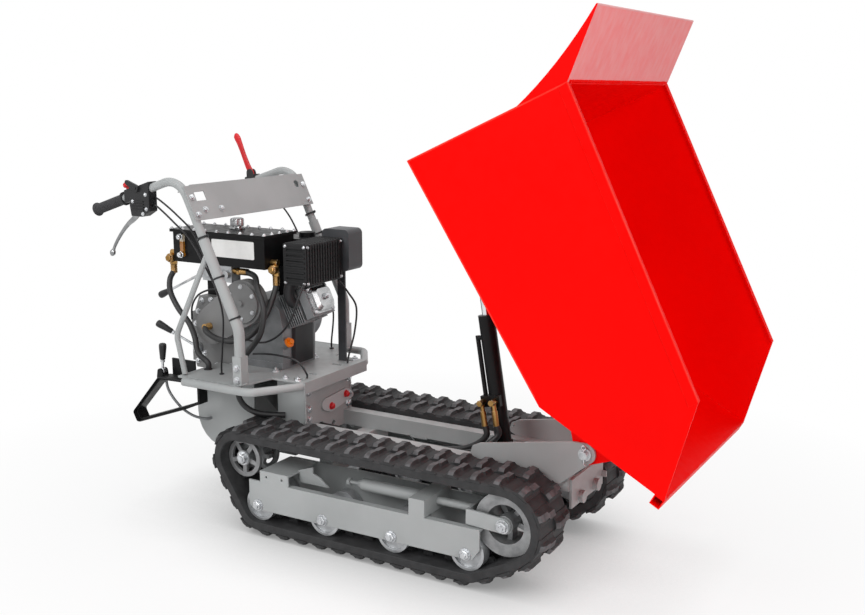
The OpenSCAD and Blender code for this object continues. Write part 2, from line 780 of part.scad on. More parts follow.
module chassis_frame() {
  half = rails_w / 2;
  color(paint_grey) {
    for (side = [right, left]) {
      y = side < 0 ? -half : half - rail_w;
      block([rail_rear, y, rail_z], [rail_front, y + rail_w, rail_top]);
    }
    for (x = cross_x)
      block([x - cross_w / 2, -frame_inner, rail_z - cross_h], [x + cross_w / 2, frame_inner, rail_z]);
    for (side = [right, left]) {
      y = side < 0 ? -mount_in - mount_t : mount_in;
      prism_y(y, y + mount_t) hull() {
        translate([ram_x - cross_w / 2, rail_z - 1]) square([cross_w, 1]);
        translate([ram_x, ram_z]) circle(r = ram_pin_d / 2 + 10);
      }
      hex_y(ram_x, ram_z, side * (mount_in + mount_t), 28, 10, side);
    }
    pin_y(ram_x, ram_z, -mount_in - mount_t, mount_in + mount_t, ram_pin_d / 2);
    block([rail_front, -half + 8, rail_z - 52], [rail_front + nose_t, half - 8, rail_top - 16]);
    for (y = [-56, 56]) translate([rail_front + nose_t, y, rail_z - 33]) rotate([0, 90, 0])
      cylinder(r = 18, h = 14);
    block([rail_front + nose_t, half - 18, rail_z - 26], [rail_front + nose_t + 14, half - 12, rail_z - 8]);
  }
}

module hinge_cheeks() {
  half = rails_w / 2;
  color(paint_grey) for (side = [right, left]) {
    y = side < 0 ? -half - cheek_t : half;
    difference() {
      prism_y(y, y + cheek_t) union() {
        polygon([[ram_x - 48, rail_top + 12], [ram_x - 40, rail_top + 38], [ram_x - 16, rail_top + 50],
          [hinge_x - 34, hinge_z + 30], [hinge_x, hinge_z + 30], [hinge_x + 26, hinge_z - 15],
          [hinge_x + 10, hinge_z - 30], [rail_front - 36, rail_z + 12], [rail_front - 76, rail_z + 4],
          [ram_x + 60, rail_z + 4]]);
        translate([hinge_x, hinge_z]) circle(r = 30);
      }
      pin_y(hinge_x, hinge_z, y - 1, y + cheek_t + 1, hinge_pin_d / 2 + run_gap);
    }
  }
}

module hinge_pins() {
  half = rails_w / 2;
  inner = half - 2 * side_gap - hinge_plate_t - 6;
  outer = half + cheek_t;
  color(bright_steel) for (side = [right, left]) {
    pin_y(hinge_x, hinge_z, side < 0 ? -outer - 18 : inner, side < 0 ? -inner : outer + 18,
      hinge_pin_d / 2);
    pin_y(hinge_x, hinge_z, side < 0 ? -outer - 4 : outer, side < 0 ? -outer : outer + 4,
      hinge_pin_d / 2 + 7);
    y = side * (outer + 11);
    bar([hinge_x, y, hinge_z - 24], [hinge_x, y, hinge_z + 18], 2.5);
    bar([hinge_x, y, hinge_z - 24], [hinge_x + 8, y, hinge_z - 30], 2.5);
    translate([hinge_x, y, hinge_z + 21]) rotate([90, 0, 0])
      rotate_extrude() translate([6, 0]) circle(r = 2.4);
  }
}

fold_h = 38;
ped_in = 36;
ped_front = deck_front - ped_in;
latch_t = 6;

module pedestal() {
  half = rails_w / 2;
  under = deck_z - deck_t;
  low_bolt = [6, rail_z + 84];
  high_bolt = [90, rail_z + 106];
  color(paint_grey) {
    difference() {
      prism_x(ped_front - deck_t, ped_front)
        polygon([[-half, rail_top], [-half + rail_w, rail_top], [-half + rail_w, rail_z],
          [half - rail_w, rail_z], [half - rail_w, rail_top], [half, rail_top],
          [half, under], [-half, under]]);
      translate([ped_front, 27, rail_z + 20]) rotate([45, 0, 0]) cube([40, 16, 16], center = true);
      prism_x(ped_front - 20, ped_front + 20) hull() for (i = [0, 1])
        translate([fitting_y - 12 - i * 22, 290]) circle(r = hose_d / 2 + 3);
    }
    for (y = [-half, half - deck_t])
      prism_y(y, y + deck_t)
        polygon([[rail_rear, rail_top], [ped_front - deck_t, rail_top], [ped_front - deck_t, under],
          [rail_rear, under]]);
    prism_x(ped_front, ped_front + latch_t) hull() {
      translate(low_bolt + [-30, 12]) circle(r = 20);
      translate(low_bolt) circle(r = 20);
      translate(high_bolt) circle(r = 19);
      translate(high_bolt + [36, -12]) circle(r = 9);
    }
    for (bolt = [low_bolt, high_bolt])
      translate([ped_front + latch_t, bolt[0], bolt[1]])
        rotate([0, 90, 0])
          cylinder(d = 18, h = 9, $fn = 6);
  }
}

bumper_in = 2;
notch = box_half + 10;
box_front = -622;

module deck_plate() {
  half = deck_w / 2;
  wide = deck_rear_w / 2;
  tube_y = wide + bumper_d / 2 - bumper_in;
  color(paint_grey) {
    translate([0, 0, deck_z - deck_t]) linear_extrude(deck_t) difference() {
      polygon([[deck_front, -half], [deck_front, half], [-400, half], [-430, wide], [deck_rear, wide],
        [deck_rear, notch], [box_front + 10, notch], [box_front + 10, -notch], [deck_rear, -notch],
        [deck_rear, -wide], [-430, -wide], [-400, -half]]);
      for (y = [-140, -70, 70, 140]) hull()
        for (dx = [-14, 14]) translate([deck_front - 50 + dx, y]) circle(r = 6);
    }
    block([deck_front - deck_t, -half, deck_z - fold_h], [deck_front, half, deck_z - deck_t]);
    for (side = [right, left]) translate([0, 0, deck_z - bumper_d / 2])
      bent_run([[deck_rear + 34, side * tube_y], [-378, side * tube_y],
        [deck_front - 14, side * (half + 6)], [deck_front - 14, side * (half - 8)]], bumper_d / 2, 40);
  }
}

guard_y = 140;
guard_rear = deck_rear - 70;
guard_front = -505;

module side_guards() {
  t = 3;
  r = 110;
  low = rail_z - 72;
  under = deck_z - deck_t;
  curve = [for (a = [180 : 15 : 270]) [guard_rear + r, low + r] + r * turn(a)];
  color(paint_grey) for (y = [-guard_y - t, guard_y])
    prism_y(y, y + t) polygon(concat([[guard_front, low], [guard_front, under], [deck_rear, under],
      [guard_rear, under - 70]], curve));
}

loop_y = 235;
loop_w = 40;
range_x = -815;
range_z = 452;

module rear_guards() {
  t = 8;
  under = deck_z - deck_t;
  front = deck_rear + 40;
  color(paint_black) for (side = [right, left]) {
    y = side * loop_y - loop_w / 2;
    prism_y(y, y + loop_w) difference() {
      polygon([[front, 440], [-812, 436], [-932, 302], [-914, 268], [-700, 344], [front, 366]]);
      polygon([[front - t, 440 - t], [-808, 436 - t], [-922, 304], [-910, 278], [-702, 344 + t],
        [front - t, 366 + t]]);
    }
    block([front - 40, y, 440 - t / 2], [front, y + loop_w, under]);
    for (s = [right, left]) {
      e = side * loop_y + s * 11 - 3;
      prism_y(e, e + 6) hull() {
        translate([range_x, range_z]) circle(r = 11);
        translate([range_x - 14, 430]) square([28, 4]);
      }
    }
    pin_y(range_x, range_z, side * loop_y - 14, side * loop_y + 14, 4);
    pad = side < 0 ? y + loop_w : y - 6;
    block([-790, pad, 430], [-690, pad + 6, 496]);
  }
}

// Handles

module handle_frame() {
  color(paint_grey) for (side = [right, left]) {
    y = side * handle_y;
    block([foot_x - post_d / 2, y - post_d / 2, deck_z],
      [foot_x + post_d / 2, y + post_d / 2, post_foot_z]);
    bent_tube([[foot_x, post_foot_z], knee, post_top], post_d / 2, 90, y);
    bent_tube([post_top - bar_slope * 20, bar_top, bar_end], bar_d / 2, 75, y);
    bent_tube([knee + bar_slope * 262, [-697, 598], [-668, deck_z + 2.3]], 9, 50, y);
  }
}

console_low = 360;
console_top = 475;
console_flange = 55;

module console() {
  face = [bar_slope[1], -bar_slope[0]];
  base = knee + face * (bar_d / 2 + gasket);
  low = base + bar_slope * console_low;
  top = base + bar_slope * console_top;
  half = handle_y + bar_d / 2 + 4;
  inner = handle_y - bar_d / 2 - 1;
  color(paint_grey) {
    difference() {
      prism_y(-half, half) polygon([low, low + face * console_t, top + face * console_t, top]);
      prism_y(-handle_y + 18, -handle_y + 64)
        translate(top - bar_slope * 52) rotate(atan2(bar_slope[1], bar_slope[0]))
          translate([0, -20]) square([30, 40]);
      ring = top - bar_slope * 34;
      bar([ring[0], handle_y - 34, ring[1]] - [face[0], 0, face[1]] * 9,
        [ring[0], handle_y - 34, ring[1]] + [face[0], 0, face[1]] * 9, 13);
    }
    prism_y(-inner, inner) polygon([top, top + face * console_t,
      top + face * console_t + bar_slope * console_t,
      top + bar_slope * console_t - face * console_flange, top - face * console_flange]);
  }
}

grip_cap = 6;

module handle_grips() {
  tilt = atan2(-bar_back[0], -bar_back[1]);
  flange = grip_d / 2 + 5;
  color(rubber_black) for (side = [right, left])
    translate([bar_end[0] + bar_back[0] * grip_cap, side * handle_y, bar_end[1] + bar_back[1] * grip_cap])
      rotate([0, tilt, 0]) rotate_extrude()
        polygon([[0, 0], [flange, 0], [flange, 7], [grip_d / 2, 9], [grip_d / 2, grip_len - 7],
          [flange, grip_len - 5], [flange, grip_len], [bar_d / 2 + run_gap, grip_len],
          [bar_d / 2 + run_gap, grip_cap - run_gap], [0, grip_cap - run_gap]]);
}

// Point on the handlebar's axis at one x
function bar_z(x) = bar_top[1] + (x - bar_top[0]) * bar_back[1] / bar_back[0];

house_half = 18;
house_front = -772;
brake_x = -830;
brake_z = bar_z(brake_x) - 54;
clutch_x = -840;
clutch_z = bar_z(clutch_x) + 32;
throttle_x = -822;
throttle_z = bar_z(throttle_x) + 14;
lever_pin_r = 4;
switch_x = -866;
collar_rear = -880;
collar_front = -850;
collar_half = 16;
collar_up = 24;
collar_down = 18;
clamp_front = -816;

module lever_housings() {
  y = -handle_y;
  slot = 6.5;
  color(paint_black) {
    difference() {
      union() {
        difference() {
          prism_y(y - house_half, y + house_half)
            polygon([[-856, bar_z(-856) + 20], [house_front, bar_z(house_front) + 20],
              [house_front, bar_z(house_front) - 74], [-804, bar_z(-804) - 82],
              [-850, bar_z(-850) - 66], [-856, bar_z(-856) - 30]]);
          block([-900, y - slot, brake_z - 60], [brake_x + 20, y + slot, bar_z(-858) - 16]);
        }
        prism_y(y - collar_half, y + collar_half)
          polygon([[collar_rear, bar_z(collar_rear) + collar_up],
            [collar_front, bar_z(collar_front) + collar_up],
            [collar_front, bar_z(collar_front) - collar_down],
            [collar_rear, bar_z(collar_rear) - collar_down]]);
        pin_y(brake_x, brake_z, y - house_half, y + house_half, lever_pin_r);
        pin_y(throttle_x, throttle_z, y - house_half - 10, y, lever_pin_r);
      }
      bar([-700, y, bar_z(-700)], [-900, y, bar_z(-900)], bar_d / 2 + run_gap);
      translate([switch_x, y, bar_z(switch_x)]) rotate([0, atan2(bar_back[1], -bar_back[0]), 0])
        cylinder(r = 10 + run_gap, h = 60);
    }
    difference() {
      union() {
        prism_y(-y - house_half, -y + house_half)
          polygon([[-856, bar_z(-856) + 20], [clamp_front, bar_z(clamp_front) + 20],
            [clamp_front, bar_z(clamp_front) - 30], [-856, bar_z(-856) - 30]]);
        for (s = [right, left]) {
          e = -y + s * 8 - 3;
          prism_y(e, e + 6) hull() {
            translate([clutch_x, clutch_z]) circle(r = 13);
            translate([clutch_x - 13, bar_z(clutch_x) + 16]) square([30, 4]);
          }
        }
        pin_y(clutch_x, clutch_z, -y - 11, -y + 11, lever_pin_r);
      }
      bar([-700, -y, bar_z(-700)], [-900, -y, bar_z(-900)], bar_d / 2 + run_gap);
    }
  }
}

module brake_lever() {
  y = -handle_y;
  elbow = [brake_x - 56, y, brake_z - 68];
  tip = [brake_x - 130, y, brake_z - 142];
  way = unit(tip - elbow);
  ball_r = 9;
  color(bright_steel) difference() {
    union() {
      prism_y(y - 5, y + 5) hull() {
        translate([brake_x, brake_z]) circle(r = 11);
        translate([elbow[0], elbow[2]]) circle(r = 8);
      }
      bar(elbow, tip, 4.5);
      turned(tip - way * ball_r, way, [[0, 0], [5, 1.5], [8, 5], [ball_r, ball_r], [8, 13], [5, 16.5],
        [0, 2 * ball_r]]);
    }
    pin_y(brake_x, brake_z, y - 10, y + 10, lever_pin_r + run_gap);
  }
}

module clutch_lever() {
  y = handle_y;
  color(paint_red) difference() {
    prism_y(y - 4, y + 4) {
      hull() {
        translate([clutch_x, clutch_z]) circle(r = 11);
        translate([clutch_x - 34, clutch_z + 80]) circle(r = 9);
      }
      hull() {
        translate([clutch_x - 34, clutch_z + 80]) circle(r = 9);
        translate([clutch_x - 54, clutch_z + 122]) circle(r = 12);
      }
    }
    pin_y(clutch_x, clutch_z, y - 10, y + 10, lever_pin_r + run_gap);
  }
}

module stop_switch() {
  color(paint_red) translate([switch_x, -handle_y, bar_z(switch_x)])
    rotate([0, atan2(bar_back[1], -bar_back[0]), 0]) {
      translate([0, 0, bar_d / 2 + 4]) cylinder(r = 10, h = 14);
      translate([0, 0, bar_d / 2 + 12]) cylinder(r = 9.5, h = 12);
    }
}

module throttle_lever() {
  y = -handle_y - house_half;
  color(paint_black) difference() {
    prism_y(y - 8, y - 0.5) hull() {
      translate([throttle_x, throttle_z]) circle(r = 12);
      translate([throttle_x - 36, throttle_z + 18]) circle(r = 7);
    }
    pin_y(throttle_x, throttle_z, y - 20, y + 1, lever_pin_r + run_gap);
  }
}

// Power unit

tank_rear = tank_front - tank_l;
tank_left = tank_right + tank_w;
tank_top = tank_z + tank_h;
lid_z = tank_top + gasket;
cap_x = -655;
cap_y = -20;
cap_r = 27;
neck_r = 20;

module oil_tank() {
  color(paint_black) {
    difference() {
      block([tank_rear, tank_right, tank_z], [tank_front, tank_left, tank_top]);
      block([tank_rear + tank_wall, tank_right + tank_wall, tank_z + tank_wall],
        [tank_front - tank_wall, tank_left - tank_wall, tank_top + 1]);
    }
    difference() {
      block([tank_rear - lid_over, tank_right - lid_over, lid_z],
        [tank_front + lid_over, tank_left + lid_over, lid_z + lid_t]);
      translate([cap_x, cap_y, lid_z - 1]) cylinder(r = neck_r, h = lid_t + 2);
    }
    block([-760, cap_y - 40, box_top], [-700, cap_y - 32, tank_z]);
    block([-500, cap_y + 20, case_top], [tank_front - 6, cap_y + 28, tank_z]);
  }
}

module filler_cap() {
  base = lid_z + lid_t;
  color(bright_steel) translate([cap_x, cap_y, base]) {
    translate([0, 0, -lid_t]) cylinder(r = neck_r - run_gap, h = lid_t + 1);
    translate([0, 0, gasket]) cylinder(r = cap_r, h = 10);
    translate([0, 0, 10]) cylinder(r = cap_r - 4, h = 28);
  }
}

gauge_x = tank_rear + 44;

module sight_gauge() {
  color("#c99a3a") {
    block([gauge_x - 7, tank_right - 9, tank_z + 32], [gauge_x + 7, tank_right, tank_z + 88]);
    for (z = [tank_z + 26, tank_z + 86]) translate([gauge_x, tank_right, z]) rotate([90, 0, 0])
      cylinder(r = 9, h = 12);
  }
}

valve_front = -606;
valve_rear = -730;
valve_low = 750;
lever_arm_x = -748;
lever_arm_z = 768;

module valve_block() {
  color(cast_metal) {
    block([valve_rear, tank_right + 5, valve_low], [valve_front, -70, tank_z]);
    block([valve_rear - 34, -88, valve_low + 2], [valve_rear, -76, valve_low + 40]);
    pin_y(lever_arm_x, lever_arm_z, -110, -76, 6);
    for (x = [-700, -660, -620]) translate([x, tank_right + 5, valve_low + 28]) rotate([90, 0, 0])
      cylinder(r = 13, h = 16);
  }
}

knob_r = 12.5;
knob_neck = 9;

// Hand lever on a cross pin, with a long knob that widens toward its end and has its middle at tip
module knob_lever(foot, tip, y0, y1, pin_r, knob_len) {
  mid = [foot[0], (y0 + y1) / 2, foot[2]];
  way = unit(tip - mid);
  difference() {
    union() {
      pin_y(foot[0], foot[2], y0, y1, pin_r + 8);
      bar(mid, tip, 5);
      turned(tip - way * knob_len / 2, way, [[0, 0], [knob_neck, 0], [knob_r, knob_len - 16],
        [knob_r, knob_len - 7], [knob_neck, knob_len - 1], [0, knob_len]]);
    }
    pin_y(foot[0], foot[2], y0 - 20, y1 + 20, pin_r + run_gap);
  }
}

gear_x = -775;
gear_z = 512;

module valve_lever() {
  color(paint_black) knob_lever([lever_arm_x, 0, lever_arm_z], [-915, -104, 687], -108, -90, 6, 50);
}

module gear_lever() {
  y = -box_half;
  color(paint_black) knob_lever([gear_x, 0, gear_z], [-884, -146, 578], y - 18, y - side_gap, 8, 62);
}

module range_lever() {
  y = -loop_y;
  color(paint_black) knob_lever([range_x, 0, range_z], [-811, y, 520], y - 7, y + 7, 4, 56);
}

box_top = 690;
axle_tube_r = 28;

module gearbox_case() {
  low_half = rails_w / 2 - rail_w - 8;
  tube_end = frame_inner + 10;
  color(cast_metal) difference() {
    union() {
      prism_y(-box_half, box_half)
        polygon([[-790, 440], [-800, 470], [-800, 610], [-768, box_top], [-660, box_top], [box_front, 640],
          [box_front, 440]]);
      prism_y(-low_half, low_half)
        polygon([[-760, 460], [-760, 420], [-560, 250], [sprocket_x - 40, sprocket_z - 50],
          [sprocket_x + 40, sprocket_z - 50], [sprocket_x + 52, sprocket_z + 30],
          [sprocket_x, sprocket_z + 70], [-560, 400], [box_front, 460]]);
      for (side = [right, left])
        pin_y(sprocket_x, sprocket_z, side < 0 ? -tube_end : low_half - 4,
          side < 0 ? 4 - low_half : tube_end, axle_tube_r);
      block([-812, -box_half + 6, 460], [-798, box_half - 6, 630]);
      pin_y(gear_x, gear_z, -box_half - 20, -box_half, 8);
    }
    prism_y(-box_half + 10, box_half - 10)
      polygon([[-786, 480], [-786, 606], [-760, box_top - 12], [-664, box_top - 12],
        [box_front - 12, 634], [box_front - 12, 480]]);
    pin_y(sprocket_x, sprocket_z, -tube_end - 1, tube_end + 1, shaft_d / 2 + run_gap);
  }
}

drive_x = -548;
drive_z = 692;
input_x = -690;
input_z = 600;

module belt_cover() {
  near = cover_near;
  color(paint_grey) {
    difference() {
      prism_y(near, -box_half) hull() {
        translate([drive_x, drive_z]) circle(r = 75);
        translate([input_x, input_z]) circle(r = 62);
      }
      prism_y(near + 3, -box_half + 1) hull() {
        translate([drive_x, drive_z]) circle(r = 72);
        translate([input_x, input_z]) circle(r = 59);
      }
    }
    pin_y(drive_x, drive_z, near - 8, near, 66);
    hex_y(drive_x, drive_z, near - 8, 19, 8, right);
  }
}

case_top = 702;
engine_base = deck_z + 22;

// The engine cylinder's own frame: Z along its bore
module in_engine() {
  translate([crank_x, engine_y, crank_z]) rotate([0, 90 - cyl_rise, 0]) children();
}

fin_low = 92;
fins = 8;
fin_pitch = 9;
head_low = 166;
head_top = 196;

module engine_block() {
  y0 = engine_y - case_half;
  y1 = engine_y + case_half;
  color(cast_metal) {
    block([-600, y0 - 2, deck_z], [-430, y1 + 2, engine_base]);
    prism_y(y0, y1) polygon([[-600, engine_base], [-610, 560], [-604, 660], [-575, case_top],
      [-470, case_top], [-440, 670], [-424, 600], [-428, engine_base]]);
    in_engine() {
      translate([0, 0, 60]) cylinder(r = 47, h = head_low - 60);
      for (i = [0 : fins - 1]) translate([-56, -62, fin_low + i * fin_pitch]) cube([112, 124, 3]);
      translate([-52, -58, head_low]) cube([104, 116, head_top - head_low]);
    }
    pin_y(crank_x, crank_z, y1, y1 + 46, 92);
    pin_y(crank_x, crank_z, y1 + 46, y1 + 54, 70);
    translate([-423, y0 + 12, 556]) rotate([0, 60, 0]) translate([0, 0, -14]) cylinder(r = 15, h = 24);
  }
}

module valve_cover() {
  color(bright_steel) in_engine() {
    translate([-46, -52, head_top]) linear_extrude(6) offset(r = 10) translate([10, 10]) square([72, 84]);
    hull() {
      translate([0, 0, head_top + 6]) linear_extrude(12) offset(r = 18, $fn = 32)
        square([44, 56], center = true);
      translate([0, 0, head_top + 26]) linear_extrude(3) offset(r = 14, $fn = 32)
        square([32, 44], center = true);
    }
    translate([0, 0, head_top + 28]) cylinder(r = 9, h = 6);
  }
}

muff_rear = -405;
muff_front = -315;
muff_low = 760;
muff_top = 892;

module muffler() {
  y0 = engine_y - 102;
  y1 = engine_y + 96;
  color(paint_black) difference() {
    union() {
      block([muff_rear, y0, muff_low], [muff_front, y1, muff_top]);
      in_engine() translate([-52, 0, head_low + 16]) rotate([0, -90, 0]) cylinder(r = 16, h = 44);
    }
    for (z = [muff_low + 20 : 18 : muff_top - 20])
      block([muff_front - 4, y0 + 14, z], [muff_front + 1, y1 - 14, z + 6]);
    for (z = [muff_low + 20 : 18 : muff_top - 20])
      block([muff_rear + 12, y0 - 1, z], [muff_front - 12, y0 + 4, z + 6]);
  }
}

module air_cleaner() {
  y0 = engine_y + 99;
  color("#3a3c3f") {
    translate([0, y0, 0]) rotate([90, 0, 180]) mirror([1, 0, 0]) linear_extrude(80) offset(r = 18)
      translate([-380, 800]) square([72, 102]);
    block([-352, y0 + 20, deck_z], [-322, y0 + 26, 784]);
  }
}

module fuel_tank() {
  y0 = tank_left + lid_over + 8;
  color(paint_black) {
    block([-560, y0, 740], [muff_rear - 6, 178, 886]);
    for (x = [-556, -506]) block([x, y0 + 4, case_top], [x + 20, y0 + 34, 740]);
    translate([-470, 120, 886]) cylinder(r = 28, h = 16);
  }
}

module starter_grip() {
  y = engine_y + case_half + 54;
  color(paint_black) {
    bar([crank_x - 40, y + gasket, crank_z + 30], [crank_x - 40, y + 14, crank_z + 30], 5);
    bar([crank_x - 40, y + 18, crank_z + 4], [crank_x - 40, y + 18, crank_z + 56], 8);
  }
}

module dipstick() {
  color("#e07a20") translate([-423, engine_y - case_half + 12, 556]) rotate([0, 60, 0]) {
    translate([0, 0, 10 + gasket]) cylinder(r = 16, h = 9);
    translate([0, 0, 19]) cylinder(r = 9, h = 10);
  }
}

rear_tap_y = -108;
front_tap_y = -84;
valve_tap_z = valve_low + 38;
hose_gap = 0.3;

module hose_fittings() {
  color(brass) {
    bar([tank_rear, rear_tap_y, tank_z + 28], [tank_rear - 20, rear_tap_y, tank_z + 28], 10);
    bar([tank_rear - 14, rear_tap_y, tank_z + 28], [tank_rear - 14, rear_tap_y, tank_z - 16], 9);
    bar([tank_front, front_tap_y, tank_z + 20], [tank_front + 26, front_tap_y, tank_z + 20], 10);
    bar([tank_front + 16, front_tap_y, tank_z + 20], [tank_front + 16, front_tap_y, tank_z - 26], 9);
    bar([valve_front, -100, valve_tap_z], [valve_front + 30, -100, valve_tap_z], 9);
  }
}

module hydraulic_hoses() {
  rear_x = tank_rear - 14;
  front_x = tank_front + 16;
  tap_x = valve_front + 30 + hose_gap;
  floor_z = deck_z + hose_gap;
  cover_y = cover_near - hose_gap;
  color(rubber_black) {
    hose([[rear_x, rear_tap_y, tank_z - 16 - hose_gap], [rear_x, rear_tap_y, tank_z - 34],
      [rear_x, -130, 742], [-852, -142, 700], [-810, -152, 650], [-760, -160, 610], [-720, -178, 570],
      [-694, -192, 520], [-650, -196, 492], [-650, -196, floor_z]], hose_d);
    hose([[front_x, front_tap_y, tank_z - 26 - hose_gap], [front_x, front_tap_y, tank_z - 50],
      [front_x, -100, 720], [-452, -136, 660], [-490, -160, 600], [-550, -172, 572], [-620, -176, 572],
      [-670, -172, 588], [-690, -156, 600], [-690, cover_y, 600]], hose_d);
    hose([[tap_x, -100, valve_tap_z], [tap_x + 20, -100, valve_tap_z], [-510, -112, 778],
      [-470, -150, 745], [-428, -174, 690], [-436, -186, 610], [-490, -192, 540], [-520, -192, 500],
      [-520, -192, floor_z]], hose_d);
  }
}

module control_cables() {
  y = -handle_y;
  floor_z = deck_z + hose_gap;
  start_x = house_front + hose_gap;
  left_x = clamp_front + hose_gap;
  color(paint_black) {
    hose([[start_x, y, bar_z(house_front) - 58], [start_x + 16, y, bar_z(house_front) - 58],
      [-700, y + 14, 960], [-640, y + 26, 900], [-560, y + 28, 780], [-490, y + 28, 680],
      [-466, y + 28, 600], [-470, y + 36, 500], [-470, y + 36, floor_z]], cable_d);
    hose([[start_x, y + 8, bar_z(house_front) - 36], [start_x + 16, y + 8, bar_z(house_front) - 36],
      [-700, y + 26, 984], [-640, y + 40, 920], [-580, y + 40, 800], [-540, y + 44, 680],
      [-560, y + 60, 560], [-570, y + 64, 500], [-570, y + 64, floor_z]], cable_d);
    hose([[left_x, -y, bar_z(clamp_front) - 22], [left_x + 16, -y, bar_z(clamp_front) - 22],
      [-740, -y - 14, 1000], [-650, -y - 26, 930], [-560, -y - 28, 780], [-490, -y - 28, 680],
      [-466, -y - 28, 600], [-470, -y - 36, 500], [-470, -y - 36, floor_z]], cable_d);
  }
}

skip_shell();
spill_guard();
skip_hinge_brackets();
lift_bracket();
cylinder_barrel();
cylinder_fittings();
cylinder_hoses();
cylinder_rod();
sprocket(right);  // right_sprocket
sprocket(left);  // left_sprocket
idler(right);  // right_idler
idler(left);  // left_idler
roller(right, 0);  // right_roller_1
roller(right, 1);  // right_roller_2
roller(right, 2);  // right_roller_3
roller(right, 3);  // right_roller_4
roller(left, 0);  // left_roller_1
roller(left, 1);  // left_roller_2
roller(left, 2);  // left_roller_3
roller(left, 3);  // left_roller_4
track_belt(right);  // right_track_belt
track_belt(left);  // left_track_belt
track_frame(right);  // right_track_frame
track_frame(left);  // left_track_frame
roller_axles();
track_tensioners();
chassis_frame();
hinge_cheeks();
hinge_pins();
pedestal();
deck_plate();
side_guards();
rear_guards();
handle_frame();
console();
handle_grips();
lever_housings();
brake_lever();
clutch_lever();
stop_switch();
throttle_lever();
oil_tank();
filler_cap();
sight_gauge();
valve_block();
valve_lever();
gear_lever();
range_lever();
gearbox_case();
belt_cover();
engine_block();
valve_cover();
muffler();
air_cleaner();
fuel_tank();
starter_grip();
dipstick();
hydraulic_hoses();
hose_fittings();
control_cables();
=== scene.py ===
# %% [markdown]
# # A tracked power carrier
# This lesson dresses the solid model of a small tracked carrier with a tipping skip. The solids are
# already the right size, so nothing here moves or resizes them. We set up a studio, mix the finishes,
# and add the small pieces that a solid model leaves out: the moulded tread, hoses, bolts, weld beads,
# knobs and grips.

# %% Load the solid model
import json
import math

import bmesh
import bpy
from mathutils import Matrix, Vector


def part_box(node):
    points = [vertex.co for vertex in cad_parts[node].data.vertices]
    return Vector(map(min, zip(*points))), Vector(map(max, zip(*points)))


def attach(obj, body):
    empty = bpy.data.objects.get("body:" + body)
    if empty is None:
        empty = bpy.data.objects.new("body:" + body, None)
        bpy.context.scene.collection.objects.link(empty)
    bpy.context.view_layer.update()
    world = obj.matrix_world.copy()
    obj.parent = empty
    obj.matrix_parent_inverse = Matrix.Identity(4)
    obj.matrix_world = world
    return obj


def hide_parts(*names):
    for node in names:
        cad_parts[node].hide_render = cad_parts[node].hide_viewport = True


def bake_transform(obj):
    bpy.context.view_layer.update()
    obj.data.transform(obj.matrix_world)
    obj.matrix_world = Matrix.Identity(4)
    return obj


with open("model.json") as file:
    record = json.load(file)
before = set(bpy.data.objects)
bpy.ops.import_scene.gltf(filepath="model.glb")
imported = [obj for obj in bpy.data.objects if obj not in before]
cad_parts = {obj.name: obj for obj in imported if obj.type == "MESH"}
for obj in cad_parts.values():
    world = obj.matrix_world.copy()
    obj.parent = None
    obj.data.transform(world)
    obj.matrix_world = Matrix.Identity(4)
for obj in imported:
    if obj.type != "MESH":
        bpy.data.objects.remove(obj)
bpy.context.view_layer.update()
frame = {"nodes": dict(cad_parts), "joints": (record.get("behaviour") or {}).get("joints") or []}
MM = 0.001
joint_place = {joint["name"]: Vector(joint["pos_m"]) for joint in frame["joints"] if "pos_m" in joint}

# %% [markdown]
# ## Camera
# The carrier is seen from its front right corner, a little above the skip's middle. A camera could be
# aimed with a constraint, but a plain place and turn is easier to read, so the camera gets its
# bearing round the machine, its downward pitch and its lens.

# %% Place the camera
CAMERA_PLACE = (1.732, -2.825, 1.369)
CAMERA_BEARING = 30.18
CAMERA_PITCH = 11.27
CAMERA_LENS = 45.3

scene = bpy.context.scene
scene.view_settings.view_transform = "Standard"
camera_data = bpy.data.cameras.new("front_corner_view")
camera_data.sensor_width = 36.0
camera_data.lens = CAMERA_LENS
camera = bpy.data.objects.new("front_corner_view", camera_data)
camera.location = CAMERA_PLACE
camera.rotation_euler = (math.radians(90 - CAMERA_PITCH), 0, math.radians(CAMERA_BEARING))
scene.collection.objects.link(camera)
scene.camera = camera
print("camera lens", CAMERA_LENS, "mm")

# %% [markdown]
# ## Small helpers for node trees
# A finish is a tree of nodes. Typing every node and link in full makes a script hard to follow, so
# one helper adds a node, sets its values, and links any value that is another node's output. Colours
# are written as on a paint card and turned into the linear numbers that shaders use.


# %% Node helpers
def add_node(tree, kind, values=None, **settings):
    node = tree.nodes.new(kind)
    for setting, choice in settings.items():
        setattr(node, setting, choice)
    for socket, value in (values or {}).items():
        if isinstance(value, bpy.types.NodeSocket):
            tree.links.new(value, node.inputs[socket])
        else:
            node.inputs[socket].default_value = value
    return node


def tone(code):
    channels = [int(code[i:i + 2], 16) / 255 for i in (1, 3, 5)]
    linear = [c / 12.92 if c <= 0.04045 else ((c + 0.055) / 1.055) ** 2.4 for c in channels]
    return (*linear, 1.0)


def new_finish(name):
    finish = bpy.data.materials.new(name)
    finish.use_nodes = True
    tree = finish.node_tree
    place = add_node(tree, "ShaderNodeTexCoord").outputs["Object"]
    return finish, tree, tree.nodes["Principled BSDF"], place


def mottle(tree, place, size, detail=3.0, stretch=(1, 1, 1)):
    scale = [s / size for s in stretch]
    spot = add_node(tree, "ShaderNodeMapping", {"Vector": place, "Scale": scale}).outputs["Vector"]
    noise = add_node(tree, "ShaderNodeTexNoise", {"Vector": spot, "Scale": 1.0, "Detail": detail})
    return noise.outputs["Fac"]


def spread(tree, value, low, high, near=0.35, far=0.65):
    given = {"Value": value, "From Min": near, "From Max": far, "To Min": low, "To Max": high}
    return add_node(tree, "ShaderNodeMapRange", given).outputs["Result"]


